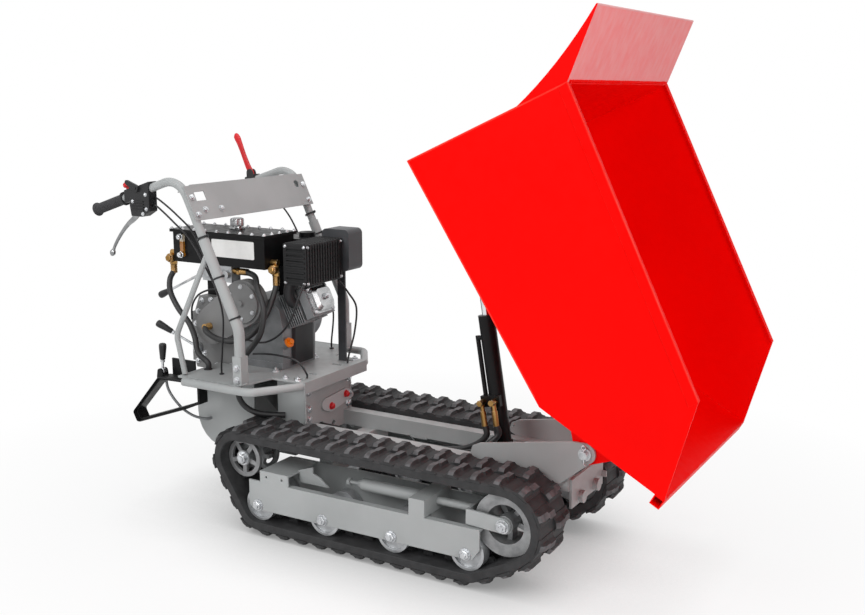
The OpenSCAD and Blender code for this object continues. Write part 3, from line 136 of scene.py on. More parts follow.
def clouds(tree, place, size, detail=3.0):
    return spread(tree, mottle(tree, place, size, detail), 0.0, 1.0)


def two_tone(tree, share, first, second):
    return add_node(tree, "ShaderNodeMix", {0: share, 6: first, 7: second}, data_type="RGBA").outputs[2]


def times(tree, first, second, operation="MULTIPLY"):
    return add_node(tree, "ShaderNodeMath", {0: first, 1: second}, operation=operation).outputs["Value"]


def dress(tree, shader, colour, rough, skin=None, constants=None):
    tree.links.new(colour, shader.inputs["Base Color"])
    tree.links.new(rough, shader.inputs["Roughness"])
    if skin:
        bump = add_node(tree, "ShaderNodeBump", skin).outputs["Normal"]
        tree.links.new(bump, shader.inputs["Normal"])
    for socket, value in (constants or {}).items():
        shader.inputs[socket].default_value = value


print("helpers ready")

# %% [markdown]
# ## Floor and light
# The picture is a studio shot on a white ground. More lamps would burn the paint out before the floor
# turned white, so the floor and the world carry a plain white that only camera, mirror and glass rays
# see. Under the machine the white fades with how much of the sky a spot can see, which gives the
# soft, close shadow of a large studio lamp.

# %% Build the studio
FLOOR_HALF = 20.0
FLOOR_DROP = 0.0004
WHITE_FROM = 0.9
WHITE_FULL = 2.0
SHADOW_REACH = 0.45


def seen_directly(tree):
    path = add_node(tree, "ShaderNodeLightPath").outputs
    seen = times(tree, path["Is Camera Ray"], path["Is Glossy Ray"], "MAXIMUM")
    return times(tree, seen, path["Is Transmission Ray"], "MAXIMUM")


def floor_finish():
    finish, tree, shader, place = new_finish("studio_floor")
    grain = mottle(tree, place, 0.4, 2.0)
    tree.links.new(two_tone(tree, grain, tone("#f4f4f4"), tone("#f8f8f8")), shader.inputs["Base Color"])
    shader.inputs["Roughness"].default_value = 0.9
    shader.inputs["Specular IOR Level"].default_value = 0.0
    reach = add_node(tree, "ShaderNodeVectorMath", {0: place}, operation="LENGTH").outputs["Value"]
    share = times(tree, spread(tree, reach, 0.8, 1.0, WHITE_FROM, WHITE_FULL), seen_directly(tree))
    sky_seen = add_node(tree, "ShaderNodeAmbientOcclusion", {"Distance": SHADOW_REACH}, samples=16)
    strength = spread(tree, sky_seen.outputs["AO"], 0.3, 1.0, 0.2, 0.92)
    glow = add_node(tree, "ShaderNodeEmission", {"Strength": strength}).outputs["Emission"]
    mixed = add_node(tree, "ShaderNodeMixShader", {0: share, 1: shader.outputs["BSDF"], 2: glow})
    tree.links.new(mixed.outputs["Shader"], tree.nodes["Material Output"].inputs["Surface"])
    return finish


floor_mesh = bpy.data.meshes.new("floor")
quarters = ((-1, -1), (1, -1), (1, 1), (-1, 1))
floor_corners = [(x * FLOOR_HALF, y * FLOOR_HALF, -FLOOR_DROP) for x, y in quarters]
floor_mesh.from_pydata(floor_corners, [], [(0, 1, 2, 3)])
floor_mesh.materials.append(floor_finish())
floor = bpy.data.objects.new("floor", floor_mesh)
scene.collection.objects.link(floor)

studio = bpy.data.worlds.new("studio")
studio.use_nodes = True
scene.world = studio
sky = studio.node_tree
soft_light = add_node(sky, "ShaderNodeBackground", {"Color": tone("#f3f4f5"), "Strength": 0.4})
white_wall = add_node(sky, "ShaderNodeBackground", {"Color": (1, 1, 1, 1), "Strength": 1.0})
backdrop = add_node(sky, "ShaderNodeMixShader",
                    {0: seen_directly(sky), 1: soft_light.outputs[0], 2: white_wall.outputs[0]})
sky.links.new(backdrop.outputs["Shader"], sky.nodes["World Output"].inputs["Surface"])
print("floor", 2 * FLOOR_HALF, "m wide")

# %% [markdown]
# ## Lamps
# Three round soft boxes light the machine: a key light on the operator's right, a weaker one ahead of
# the skip and one above. Small lamps would give hard edges to every shadow, so each lamp is a disk of
# more than two metres, which shades the sheet metal gently.


# %% Hang the lamps
def soft_box(name, place, aim, size, power):
    lamp = bpy.data.lights.new(name, "AREA")
    lamp.shape = "DISK"
    lamp.size = size
    lamp.energy = power
    holder = bpy.data.objects.new(name, lamp)
    holder.location = place
    holder.rotation_euler = (Vector(aim) - Vector(place)).to_track_quat("-Z", "Y").to_euler()
    scene.collection.objects.link(holder)
    return holder


lamps = [soft_box("key_light", (-1.2, -4.0, 3.4), (0.0, 0.0, 0.6), 2.6, 95),
         soft_box("side_light", (3.6, -2.4, 2.2), (0.2, 0.0, 0.6), 2.2, 56),
         soft_box("top_light", (0.0, 0.6, 4.2), (0.0, 0.0, 0.4), 3.0, 50)]
print("studio lamps:", len(lamps))

# %% [markdown]
# ## Painted metal
# The skip is sprayed a clear gloss red and the frame a silver grey. Real spray paint is never one
# colour: it drifts in tone, has a fine orange-peel skin, and is rubbed thin along edges. A bevel node
# finds the edges by looking round each corner, so it works on any mesh.


# %% Mix the paints
def soft_edge(tree, radius):
    rounded = add_node(tree, "ShaderNodeBevel", {"Radius": radius}, samples=4).outputs["Normal"]
    flat = add_node(tree, "ShaderNodeNewGeometry").outputs["Normal"]
    match = add_node(tree, "ShaderNodeVectorMath", {0: rounded, 1: flat}, operation="DOT_PRODUCT")
    return rounded, spread(tree, match.outputs["Value"], 0.0, 1.0, 0.97, 0.80)


PAINT_EDGE = 0.0015
DRIFT_SIZE = 0.2
GRIME_SIZE = 0.02
PEEL_SIZE = 0.003


def painted(name, light, dark, gloss, worn, coat, shine=0.4, peel_depth=0.0003):
    finish, tree, shader, place = new_finish(name)
    rounded, edge = soft_edge(tree, PAINT_EDGE)
    drift = clouds(tree, place, DRIFT_SIZE)
    grime = mottle(tree, place, GRIME_SIZE, 8.0)
    rubbed = times(tree, edge, spread(tree, grime, 0.0, 0.7, 0.42, 0.7))
    paint = two_tone(tree, drift, tone(dark), tone(light))
    colour = two_tone(tree, rubbed, paint, tone(worn))
    rough = spread(tree, grime, gloss - 0.05, gloss + 0.1)
    peel = mottle(tree, place, PEEL_SIZE, 1.0)
    skin = {"Strength": 0.3, "Distance": peel_depth, "Height": peel, "Normal": rounded}
    dress(tree, shader, colour, rough, skin,
          {"Coat Weight": coat, "Coat Roughness": 0.15, "Specular IOR Level": shine})
    return finish


red_paint = painted("red_gloss_paint", "#ff0300", "#fa0200", 0.4, "#ff5a4c", 0.0, 0.06)
grey_paint = painted("silver_grey_paint", "#aeb1b1", "#a3a6a6", 0.45, "#d5d7d7", 0.1)
dull_grey_paint = painted("dull_grey_paint", "#838383", "#797979", 0.5, "#adadad", 0.05)
black_paint = painted("black_gloss_paint", "#19191a", "#111112", 0.34, "#55565a", 0.0, 0.16)
heat_black = painted("heat_proof_black", "#1f1f20", "#161617", 0.55, "#4a4a4c", 0.0, 0.3, 0.0006)
# A paler red for the fold lines: a painted highlight along each fold.
fold_highlight_red = painted("painted_highlight_on_folds", "#ff4438", "#ff2c22", 0.4, "#ff8a80", 0.0, 0.1)
print("paints: 6")

# %% [markdown]
# ## Scuffed and pale paint, with painted sheen and highlight
# The outer face of the spill guard is pale in streaks, partly real scuffs and partly a painted sheen.
# They could be painted on a map by hand, but comparing the way a face points with the guard's own
# direction finds that face, and stretched noise makes the streaks. Two paler paints serve the guard's
# edge, where the pale is a painted highlight, and the latch plate.


# %% Scuff the guard
def scuffed_with_sheen(name, way, pale):
    finish = painted(name, "#ff0300", "#fa0200", 0.4, "#ff5a4c", 0.0, 0.06)
    tree, shader = finish.node_tree, finish.node_tree.nodes["Principled BSDF"]
    paint = shader.inputs["Base Color"].links[0].from_socket
    coords = add_node(tree, "ShaderNodeTexCoord").outputs
    match = add_node(tree, "ShaderNodeVectorMath", {0: coords["Normal"], 1: way}, operation="DOT_PRODUCT")
    streaks = spread(tree, mottle(tree, coords["Object"], GRIME_SIZE, 6.0, (1, 1, 0.2)), 0.47, 0.58)
    # Faces that point along the guard's face get pale streaks: partly scuffs, partly a painted sheen.
    share = times(tree, spread(tree, match.outputs["Value"], 0.0, 1.0, 0.9, 0.98), streaks)
    tree.links.new(two_tone(tree, share, paint, tone(pale)), shader.inputs["Base Color"])
    return finish


GUARD_FACE = (0.93, 0, -0.36)
# The guard's red with pale streaks, partly scuffs and partly a painted sheen.
guard_red_with_sheen = scuffed_with_sheen("guard_paint_scuffs_and_painted_sheen", GUARD_FACE, "#f4c8c8")
# A pale red for the guard's outer edge: a painted highlight.
guard_edge_highlight_red = painted("painted_highlight_on_guard_edge", "#f6b8b8", "#f0a8a8", 0.4, "#fbd8d8", 0.0, 0.1)
pale_grey = painted("pale_grey_paint", "#c6c9ca", "#bcbfc0", 0.45, "#dcdddd", 0.1)
print("scuffed and pale paints: 3")

# %% [markdown]
# ## Rubber and plastic
# Track rubber is a dusty dark grey with a dry bloom on it, and hoses are smoother and blacker.
# Moulded plastic has a fine spark-eroded grain. All are the same idea at different sizes: a base
# colour, a paler bloom that follows broad noise, and a grain for the bump.

# %% Mix the rubbers and plastics
MOULDED_EDGE = 0.001
BLOOM_SIZE = 0.05


def moulded(name, light, dark, rough, grain, depth, edge_tone):
    finish, tree, shader, place = new_finish(name)
    rounded, edge = soft_edge(tree, MOULDED_EDGE)
    bloom = clouds(tree, place, BLOOM_SIZE, 6.0)
    base = two_tone(tree, bloom, tone(dark), tone(light))
    rubbed = times(tree, edge, spread(tree, mottle(tree, place, 0.012, 6.0), 0.1, 0.8))
    colour = two_tone(tree, rubbed, base, tone(edge_tone))
    pits = mottle(tree, place, grain, 2.0)
    skin = {"Strength": 0.5, "Distance": depth, "Height": pits, "Normal": rounded}
    roughness = spread(tree, bloom, rough - 0.06, rough + 0.08, 0.0, 1.0)
    dress(tree, shader, colour, roughness, skin, {"Specular IOR Level": 0.4})
    return finish


belt_rubber = moulded("track_rubber", "#3c3c3d", "#2e2e2f", 0.72, 0.004, 0.0006, "#5c5c5d")
hose_rubber = moulded("hose_rubber", "#222223", "#19191a", 0.5, 0.002, 0.0002, "#3a3a3b")
grip_rubber = moulded("grip_rubber", "#3a3a3c", "#2b2b2d", 0.62, 0.0015, 0.0003, "#56565a")
black_plastic = moulded("black_plastic", "#232325", "#1a1a1c", 0.42, 0.0008, 0.0001, "#4a4a4d")
grey_plastic = moulded("dark_grey_plastic", "#4a4c4f", "#404245", 0.48, 0.0008, 0.0001, "#6e7074")
red_plastic = moulded("red_plastic", "#e02028", "#c8141c", 0.36, 0.001, 0.0001, "#ff7a78")
orange_plastic = moulded("orange_plastic", "#ff8a10", "#f07800", 0.38, 0.001, 0.0001, "#ffb060")
print("rubbers and plastics: 7")

# %% [markdown]
# ## Bare metal
# Zinc plate is pale and faintly mottled, chrome is a clear mirror, brass is warm, and castings are
# rough from the sand. Metal needs little colour and much roughness: what we read as steel is how its
# reflections break up, so fine noise drives the roughness and the bump.

# %% Mix the metals
METAL_EDGE = 0.0008
STAIN_SIZE = 0.03


def bare_metal(name, light, dark, rough, grain, depth, metallic=1.0):
    finish, tree, shader, place = new_finish(name)
    rounded, edge = soft_edge(tree, METAL_EDGE)
    stain = clouds(tree, place, STAIN_SIZE, 5.0)
    base = two_tone(tree, stain, tone(dark), tone(light))
    colour = two_tone(tree, times(tree, edge, 0.5), base, tone("#f0f1f2"))
    marks = mottle(tree, place, grain, 4.0)
    skin = {"Strength": 0.4, "Distance": depth, "Height": marks, "Normal": rounded}
    roughness = spread(tree, marks, rough - 0.06, rough + 0.1)
    dress(tree, shader, colour, roughness, skin, {"Metallic": metallic})
    return finish


zinc_steel = bare_metal("zinc_plate", "#d8dadc", "#b8babd", 0.32, 0.004, 0.0001)
chrome = bare_metal("chrome_plate", "#e6e8ea", "#d4d6d9", 0.14, 0.01, 0.00005)
worn_chrome = bare_metal("worn_chrome", "#a2a3a4", "#828384", 0.2, 0.006, 0.0001)
brass = bare_metal("yellow_brass", "#b9935c", "#94713e", 0.32, 0.003, 0.0001)
cast_alloy = bare_metal("cast_alloy", "#b6b8ba", "#9a9c9e", 0.46, 0.002, 0.0003, metallic=0.85)
cast_iron = bare_metal("cast_iron", "#a4a5a6", "#878889", 0.5, 0.003, 0.0004, metallic=0.7)
bright_alloy = bare_metal("bright_alloy", "#c8c9ca", "#aaabac", 0.26, 0.002, 0.0002)
wheel_steel = bare_metal("plated_wheel_steel", "#c6c8ca", "#aeb0b2", 0.42, 0.003, 0.0002, metallic=0.75)
dark_casting = bare_metal("dark_casting", "#8b8d8f", "#808284", 0.5, 0.002, 0.0002, metallic=0.6)
print("metals: 9")

# %% [markdown]
# ## Sight glass
# The oil tank's level gauge is a clear tube that shows amber oil. Real glass needs transmission, but
# a deep amber with a clear coat reads the same at this size and renders without noise.

# %% Mix the sight glass
OIL_LEVEL = 0.875


def sight_glass():
    finish, tree, shader, place = new_finish("amber_sight_glass")
    level = add_node(tree, "ShaderNodeSeparateXYZ", {0: place}).outputs["Z"]
    cloud = spread(tree, mottle(tree, place, 0.02, 3.0), 0.0, 0.3)
    oil = two_tone(tree, cloud, tone("#a8691a"), tone("#d09a3c"))
    filled = spread(tree, level, 0.0, 1.0, OIL_LEVEL - 0.001, OIL_LEVEL + 0.001)
    colour = two_tone(tree, filled, oil, tone("#d8cdb4"))
    dress(tree, shader, colour, spread(tree, cloud, 0.12, 0.2, 0.0, 0.3), None,
          {"Coat Weight": 0.8, "Coat Roughness": 0.04})
    return finish


gauge_glass = sight_glass()
print("sight glass ready")

# %% [markdown]
# ## Dress the solids
# Every solid gets the finish that the real part has. One table of finish to parts is easier to check
# against a picture than sixty single lines.

# %% Give each solid its finish
wheels = [f"{side}_{wheel}" for side in ("right", "left") for wheel in ("sprocket", "idler")]
rollers = [f"{side}_roller_{i}" for side in ("right", "left") for i in (1, 2, 3, 4)]
dressing = [
    (red_paint, ["skip_shell", "skip_hinge_brackets", "lift_bracket"]),
    (guard_red_with_sheen, ["spill_guard"]),
    (grey_paint, ["right_track_frame", "left_track_frame", "track_tensioners", "chassis_frame",
                  "hinge_cheeks", "pedestal", "deck_plate", "side_guards", "handle_frame", "console"]),
    (dull_grey_paint, ["gearbox_case", "belt_cover"]),
    (black_paint, ["cylinder_barrel", "rear_guards", "oil_tank", "fuel_tank"]),
    (heat_black, ["muffler"]),
    (belt_rubber, ["right_track_belt", "left_track_belt"]),
    (hose_rubber, ["hydraulic_hoses", "cylinder_hoses", "control_cables"]),
    (grip_rubber, ["handle_grips"]),
    (black_plastic, ["lever_housings", "throttle_lever", "starter_grip", "valve_lever", "gear_lever",
                     "range_lever"]),
    (grey_plastic, ["air_cleaner"]),
    (red_plastic, ["clutch_lever", "stop_switch"]),
    (orange_plastic, ["dipstick"]),
    (brass, ["hose_fittings", "cylinder_fittings"]),
    (chrome, ["cylinder_rod", "filler_cap", "brake_lever"]),
    (zinc_steel, ["hinge_pins", "roller_axles"]),
    (cast_alloy, ["valve_block"]),
    (dark_casting, ["engine_block"]),
    (bright_alloy, ["valve_cover"]),
    (cast_iron, wheels),
    (wheel_steel, rollers),
    (gauge_glass, ["sight_gauge"]),
]
for finish, names in dressing:
    for name in names:
        solid = frame["nodes"][name]
        solid.data.materials.clear()
        solid.data.materials.append(finish)
print("solids dressed:", sum(len(names) for _, names in dressing))

# %% [markdown]
# ## Geometry Nodes for what repeats
# Bolts, tread blocks, weld beads and hoses repeat or follow a path, so a small node tree makes each.
# A tree has its sizes as named inputs. We run it on a base object, copy the evaluated result into a
# plain mesh, and throw the base away, because only plain meshes survive an export.


# %% Tree helpers
def new_tree(name, sizes):
    tree = bpy.data.node_groups.new(name, "GeometryNodeTree")
    face = tree.interface
    face.new_socket("Geometry", in_out="OUTPUT", socket_type="NodeSocketGeometry")
    face.new_socket("Geometry", in_out="INPUT", socket_type="NodeSocketGeometry")
    for size, value in sizes.items():
        kind = "NodeSocketInt" if isinstance(value, int) else "NodeSocketFloat"
        face.new_socket(size, in_out="INPUT", socket_type=kind).default_value = value
    face.new_socket("Shape", in_out="INPUT", socket_type="NodeSocketObject")
    face.new_socket("Finish", in_out="INPUT", socket_type="NodeSocketMaterial")
    return tree, tree.nodes.new("NodeGroupInput").outputs


def close_tree(tree, shape, given):
    real = add_node(tree, "GeometryNodeRealizeInstances", {"Geometry": shape}).outputs["Geometry"]
    dressed = add_node(tree, "GeometryNodeSetMaterial", {"Geometry": real, "Material": given["Finish"]})
    add_node(tree, "NodeGroupOutput", {"Geometry": dressed.outputs["Geometry"]})


def plain_object(name, data):
    made = bpy.data.objects.new(name, data)
    scene.collection.objects.link(made)
    return made


def grow(name, tree, base, sizes):
    modifier = base.modifiers.new("growth", "NODES")
    modifier.node_group = tree
    for socket in tree.interface.items_tree:
        if socket.in_out == "INPUT" and socket.name in sizes:
            modifier[socket.identifier] = sizes[socket.name]
    mesh = bpy.data.meshes.new_from_object(base.evaluated_get(bpy.context.evaluated_depsgraph_get()))
    mesh.name = name
    bpy.data.objects.remove(base)
    return mesh


def add_piece(name, mesh, body, finish=None):
    piece = plain_object(name, mesh)
    if finish is not None:
        mesh.materials.clear()
        mesh.materials.append(finish)
    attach(piece, body)
    return piece


def aligned(tree, way, axis):
    turn = add_node(tree, "FunctionNodeAlignRotationToVector", {"Vector": way}, axis=axis)
    return turn.outputs["Rotation"]


def set_on_points(tree, points, shape, more=None):
    values = {"Points": points, "Instance": shape, **(more or {})}
    return add_node(tree, "GeometryNodeInstanceOnPoints", values).outputs["Instances"]


print("tree helpers ready")

# %% [markdown]
# ## Hoses and cables
# Hydraulic hoses leave their brass ends square, hang, and go into the deck or the next fitting. A
# curve with a bevel would do, but a tree that sweeps a ring along the curve also keeps the length
# along the hose, and the finish uses that for the fine wrap marks that the rubber cures with.

# %% Sweep a hose along a route
EASE_STEPS = 10
HOSE_SIDES = 20


def eased(points, steps):
    knots = [Vector(p) for p in points]
    knots = [knots[0], *knots, knots[-1]]
    run = []
    for a, b, c, d in zip(knots, knots[1:], knots[2:], knots[3:]):
        for step in range(steps):
            t = step / steps
            run.append(0.5 * (2 * b + (c - a) * t + (2 * a - 5 * b + 4 * c - d) * t ** 2
                              + (3 * b - a - 3 * c + d) * t ** 3))
    return [*run, knots[-1]]


def route_object(name, routes, cyclic=False):
    curve = bpy.data.curves.new(name, "CURVE")
    curve.dimensions = "3D"
    for points in routes:
        spline = curve.splines.new("POLY")
        spline.points.add(len(points) - 1)
        for knot, place in zip(spline.points, points):
            knot.co = (*place, 1.0)
        spline.use_cyclic_u = cyclic
    return plain_object(name, curve)


hose_tree, given = new_tree("hose_along_route", {"Radius": 0.0095, "Sides": HOSE_SIDES})
along = add_node(hose_tree, "GeometryNodeSplineParameter").outputs["Length"]
marked = add_node(hose_tree, "GeometryNodeStoreNamedAttribute",
                  {"Geometry": given["Geometry"], "Name": "along", "Value": along},
                  data_type="FLOAT", domain="POINT")
ring = add_node(hose_tree, "GeometryNodeCurvePrimitiveCircle",
                {"Resolution": given["Sides"], "Radius": given["Radius"]})
swept = add_node(hose_tree, "GeometryNodeCurveToMesh",
                 {"Curve": marked.outputs["Geometry"], "Profile Curve": ring.outputs["Curve"],
                  "Fill Caps": True})
smooth = add_node(hose_tree, "GeometryNodeSetShadeSmooth", {"Geometry": swept.outputs["Mesh"]})
close_tree(hose_tree, smooth.outputs["Geometry"], given)


def in_metres(points):
    return [Vector(p) * MM for p in points]


def swept_mesh(name, routes, radius, sides, finish):
    base = route_object(name + "_route", routes)
    return grow(name, hose_tree, base, {"Radius": radius * MM, "Sides": sides, "Finish": finish})


def hose_mesh(name, routes, diameter, finish):
    runs = [eased(in_metres(route), EASE_STEPS) for route in routes]
    return swept_mesh(name, runs, diameter / 2, HOSE_SIDES, finish)


def hose_piece(name, routes, diameter, finish):
    return add_piece(name, hose_mesh(name, routes, diameter, finish), "chassis")


print("hose tree nodes:", len(hose_tree.nodes))

# %% [markdown]
# ## Wrapped rubber
# A hydraulic hose is cured in a wound tape, which leaves fine rings in its skin. They could be
# modelled, but they stand only a fraction of a millimetre high. So a sine of the length along the
# hose gives the bump the same rhythm.

# %% Mix the wrapped rubber
WRAP_RADIANS_PER_METRE = 1800.0


def wrapped_rubber():
    finish, tree, shader, place = new_finish("wrapped_hose_rubber")
    length = add_node(tree, "ShaderNodeAttribute", attribute_name="along").outputs["Fac"]
    wrap = times(tree, times(tree, length, WRAP_RADIANS_PER_METRE), 0.0, "SINE")
    bloom = clouds(tree, place, 0.04, 5.0)
    colour = two_tone(tree, bloom, tone("#1c1c1d"), tone("#2a2a2b"))
    skin = {"Strength": 0.25, "Distance": 0.0003, "Height": wrap}
    dress(tree, shader, colour, spread(tree, bloom, 0.42, 0.56, 0.0, 1.0), skin)
    return finish


wrapped_hose = wrapped_rubber()
print("wrap marks every", round(math.tau / WRAP_RADIANS_PER_METRE / MM, 1), "mm")

# %% [markdown]
# ## Deck hoses and control cables
# Three hoses hang from their brass ends down to the deck and the gearbox, and three thin cables run
# down from the hand levers. A simulated rope would hang by itself, but the real ones are stiff and
# are led by hand, so each route is a short list of places that the line passes.

# %% Run the deck hoses and the cables
HOSE_D = 19
CABLE_D = 6
deck_hoses = hose_piece("deck_hoses", [
    [(-864, -108, 788.7), (-864, -108, 771), (-864, -130, 742), (-852, -142, 700), (-810, -152, 650),
     (-760, -160, 610), (-720, -178, 570), (-694, -192, 520), (-650, -196, 492), (-650, -196, 470.3)],
    [(-446, -84, 778.7), (-446, -84, 755), (-446, -100, 720), (-452, -136, 660), (-490, -160, 600),
     (-550, -172, 572), (-620, -176, 572), (-670, -172, 588), (-690, -156, 600), (-690, -133.3, 600)],
    [(-575.7, -100, 788), (-555.7, -100, 788), (-510, -112, 778), (-470, -150, 745), (-428, -174, 690),
     (-436, -186, 610), (-490, -192, 540), (-520, -192, 500), (-520, -192, 470.3)],
], HOSE_D, wrapped_hose)
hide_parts("hydraulic_hoses")
cables = hose_piece("bowden_cables", [
    [(-771.7, -285, 1009.3), (-755.7, -285, 1009.3), (-700, -271, 960), (-640, -259, 900),
     (-560, -257, 780), (-490, -257, 680), (-466, -257, 600), (-470, -249, 500), (-470, -249, 470.3)],
    [(-771.7, -277, 1031.3), (-755.7, -277, 1031.3), (-700, -259, 984), (-640, -245, 920),
     (-580, -245, 800), (-540, -241, 680), (-560, -225, 560), (-570, -221, 500), (-570, -221, 470.3)],
    [(-815.7, 285, 1030.8), (-799.7, 285, 1030.8), (-740, 271, 1000), (-650, 259, 930),
     (-560, 257, 780), (-490, 257, 680), (-466, 257, 600), (-470, 249, 500), (-470, 249, 470.3)],
], CABLE_D, black_plastic)
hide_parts("control_cables")
print("deck hoses:", len(deck_hoses.data.polygons), "faces")

# %% [markdown]
# ## The ram's hoses
# Two hoses run from the ram's port block down between the rails. On the machine the ram swings, so
# their upper ends follow it while their lower ends stay with the chassis. Cut at the joint they would
# part, so here each is swept as one mesh over the joint, in the ram's present pose.

# %% Bend the ram's hoses over the joint
RAM_FOOT = joint_place["ram_swing"]
RAM_TILT = math.radians(-9.2895)
PORT_X = (-33, 6)
PORT_Y = -41
HOSE_TAIL = 90
TAIL_GAP = 0.3
TAIL_STRAIGHT = 30
HOSES_APART = 22
BENDS_APART = 30


def on_ram(x, y, z):
    turned = Matrix.Rotation(RAM_TILT, 3, "Y") @ Vector((x, y, z)) * MM
    return (RAM_FOOT + turned) / MM


ram_routes = []
for i, x in enumerate(PORT_X):
    y = PORT_Y - HOSES_APART * i
    tail = [on_ram(x, PORT_Y, HOSE_TAIL - TAIL_GAP), on_ram(x, PORT_Y, HOSE_TAIL - TAIL_STRAIGHT)]
    bend = [(260 + BENDS_APART * i, y, 318), (190 + BENDS_APART * i, y, 292)]
    trough = [(90, y, 284), (-60, y, 284), (-180, y, 284), (-250, y, 290), (-322, y, 290)]
    ram_routes.append([*tail, *bend, *trough])
ram_hoses = plain_object("ram_hoses", hose_mesh("ram_hoses", ram_routes, HOSE_D, wrapped_hose))
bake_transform(ram_hoses)
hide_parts("cylinder_hoses")

# %% [markdown]
# ## Rubber tracks
# Each track is an endless band round a sprocket, an idler and four rollers, with two staggered rows
# of tread blocks outside and nubs inside. A curve drawn by hand would not lie on the wheels, but the
# path follows a rule: straight runs that touch the outer four wheels, and arcs on them. So it is
# worked out.

# %% Work out the track's path
SPROCKET_R = 0.065
IDLER_R = 0.094
ROLLER_R = 0.054
BELT_T = 0.028
LUG_H = 0.0155
BELT_W = 0.180
LUG_COUNT = 36
PATH_STEPS = 8
wheel_names = ("sprocket_turn", "idler_turn", "roller_4_turn", "roller_1_turn")
centres = [Vector((joint_place["right_" + n].x, joint_place["right_" + n].z)) for n in wheel_names]
radii = [SPROCKET_R, IDLER_R, ROLLER_R, ROLLER_R]


def heading(angle):
    return Vector((math.cos(angle), math.sin(angle)))


runs = []
for i in range(len(radii)):
    j = (i + 1) % len(radii)
    span = centres[j] - centres[i]
    drop = radii[i] - radii[j]
    normal = math.atan2(span.y, span.x) + math.acos(drop / span.length)
    runs.append((i, j, normal, math.sqrt(span.length ** 2 - drop ** 2)))
stretches = []
for k, (i, j, normal, length) in enumerate(runs):
    wrap = (normal - runs[(k + 1) % len(runs)][2]) % math.tau
    stretches.append(("run", i, normal, length))
    stretches.append(("arc", j, normal, wrap * (radii[j] + BELT_T / 2)))
loop_length = sum(stretch[3] for stretch in stretches)
lug_pitch = loop_length / LUG_COUNT
path_spots = [i * lug_pitch / PATH_STEPS for i in range(PATH_STEPS * LUG_COUNT)]


def track_point(s, height):
    s %= loop_length
    for kind, wheel, normal, length in stretches:
        if s <= length:
            break
        s -= length
    reach = radii[wheel] + height
    if kind == "run":
        return centres[wheel] + reach * heading(normal) + s * heading(normal - math.pi / 2)
    return centres[wheel] + reach * heading(normal - s / (radii[wheel] + BELT_T / 2))


print("track loop", round(loop_length, 3), "m, blocks every", round(lug_pitch / MM, 1), "mm")

# %% [markdown]
# ## The band of a track
# The carcass of a track has one section all the way round. A curve with a profile could twist on the
# arcs, so a loft joins rings of points that stand square to the path. The same loft makes many other
# pieces here. It marks the fourth side of eight-sided shapes, which on a tread block is the crown:
# pale from wear, and paler still by a painted sheen.

# %% Sweep the band
BLOCK_SIDES = 8
CROWN_SIDE = 3
INNER_EASE = 0.002
OUTER_EASE = 0.006


def plain_mesh(name, whole):
    made = bpy.data.meshes.new(name)
    whole.to_mesh(made)
    whole.free()
    return made


def lofted(name, rings, closed=False):
    whole = bmesh.new()
    rows = [[whole.verts.new(p) for p in ring] for ring in rings]
    count = len(rows[0])
    crowned = count == BLOCK_SIDES and not closed
    crown = whole.faces.layers.float.new("crown")
    for first, second in zip(rows, rows[1:] + rows[:1] if closed else rows[1:]):
        for k in range(count):
            face = whole.faces.new((first[k], first[(k + 1) % count], second[(k + 1) % count], second[k]))
            face[crown] = 1.0 if crowned and k == CROWN_SIDE else 0.0
    if not closed:
        whole.faces.new(rows[0][::-1])
        whole.faces.new(rows[-1])
    bmesh.ops.recalc_face_normals(whole, faces=whole.faces)
    return plain_mesh(name, whole)


def band_mesh(name, middle):
    half = BELT_W / 2
    section = [(-half, INNER_EASE), (-half + INNER_EASE, 0.0), (half - INNER_EASE, 0.0), (half, INNER_EASE),
               (half, BELT_T - OUTER_EASE), (half - OUTER_EASE, BELT_T), (0.0, BELT_T),
               (-half + OUTER_EASE, BELT_T), (-half, BELT_T - OUTER_EASE)]
    rings = []
    for spot in path_spots:
        around = [(track_point(spot, h), middle + y) for y, h in section]
        rings.append([(p.x, y, p.y) for p, y in around])
    return lofted(name, rings, True)


print("rings in a band:", len(path_spots))

# %% [markdown]
# ## Tread blocks and nubs
# A tread block is thick at the foot, narrow at the crown and stepped in its middle, so that mud falls
# out. Sculpting would do, but a few sections along the block say the same. Each station below has its
# place across the track, its jog along the track and its share of the full height.


# %% Shape the blocks
def lug_mesh(name, side):
    stations = [(90, 0, 0.3), (84, 0, 0.7), (70, 0, 1), (49, 0, 1), (43, 6, 1), (8, 6, 1), (1, 6, 0.45)]
    rings = []
    face = BELT_T / 2 / MM
    for y, jog, rise in stations:
        top = face + LUG_H / MM * rise
        mid = face + LUG_H / MM * rise / 3
        section = [(-23, face - 4), (-23, face), (-14 + jog / 2, mid), (-8.5 + jog, top),
                   (8.5 + jog, top), (14 + jog / 2, mid), (23, face), (23, face - 4)]
        rings.append([(x * MM, side * y * MM, z * MM) for x, z in section])
    return lofted(name, rings)


NUB_H = 16


def nub_mesh(name):
    rings = []
    face = BELT_T / 2 / MM
    for y, rise in ((11, 0.8), (13, 1), (26, 1), (28, 0.8)):
        deep = face + NUB_H * rise
        section = [(-17, 2 - face), (-17, -face), (-13, 2 - deep), (-11, -deep), (11, -deep),
                   (13, 2 - deep), (17, -face), (17, 2 - face)]
        rings.append([(x * MM, y * MM, z * MM) for x, z in section])
    return lofted(name, rings)


near_lug = plain_object("near_lug_pattern", lug_mesh("near_lug_pattern", -1))
far_lug = plain_object("far_lug_pattern", lug_mesh("far_lug_pattern", 1))
nub_pattern = plain_object("nub_pattern", nub_mesh("nub_pattern"))
print("faces of a block:", len(near_lug.data.polygons), "and of a nub:", len(nub_pattern.data.polygons))

# %% [markdown]
# ## Blocks along the path
# The blocks stand at even steps, each with its foot on the band and its crown outward. An array on a
# curve would bend them, so a tree sets whole copies: it lines each block up with the path and turns
# it about that line until its crown points away from the wheels.

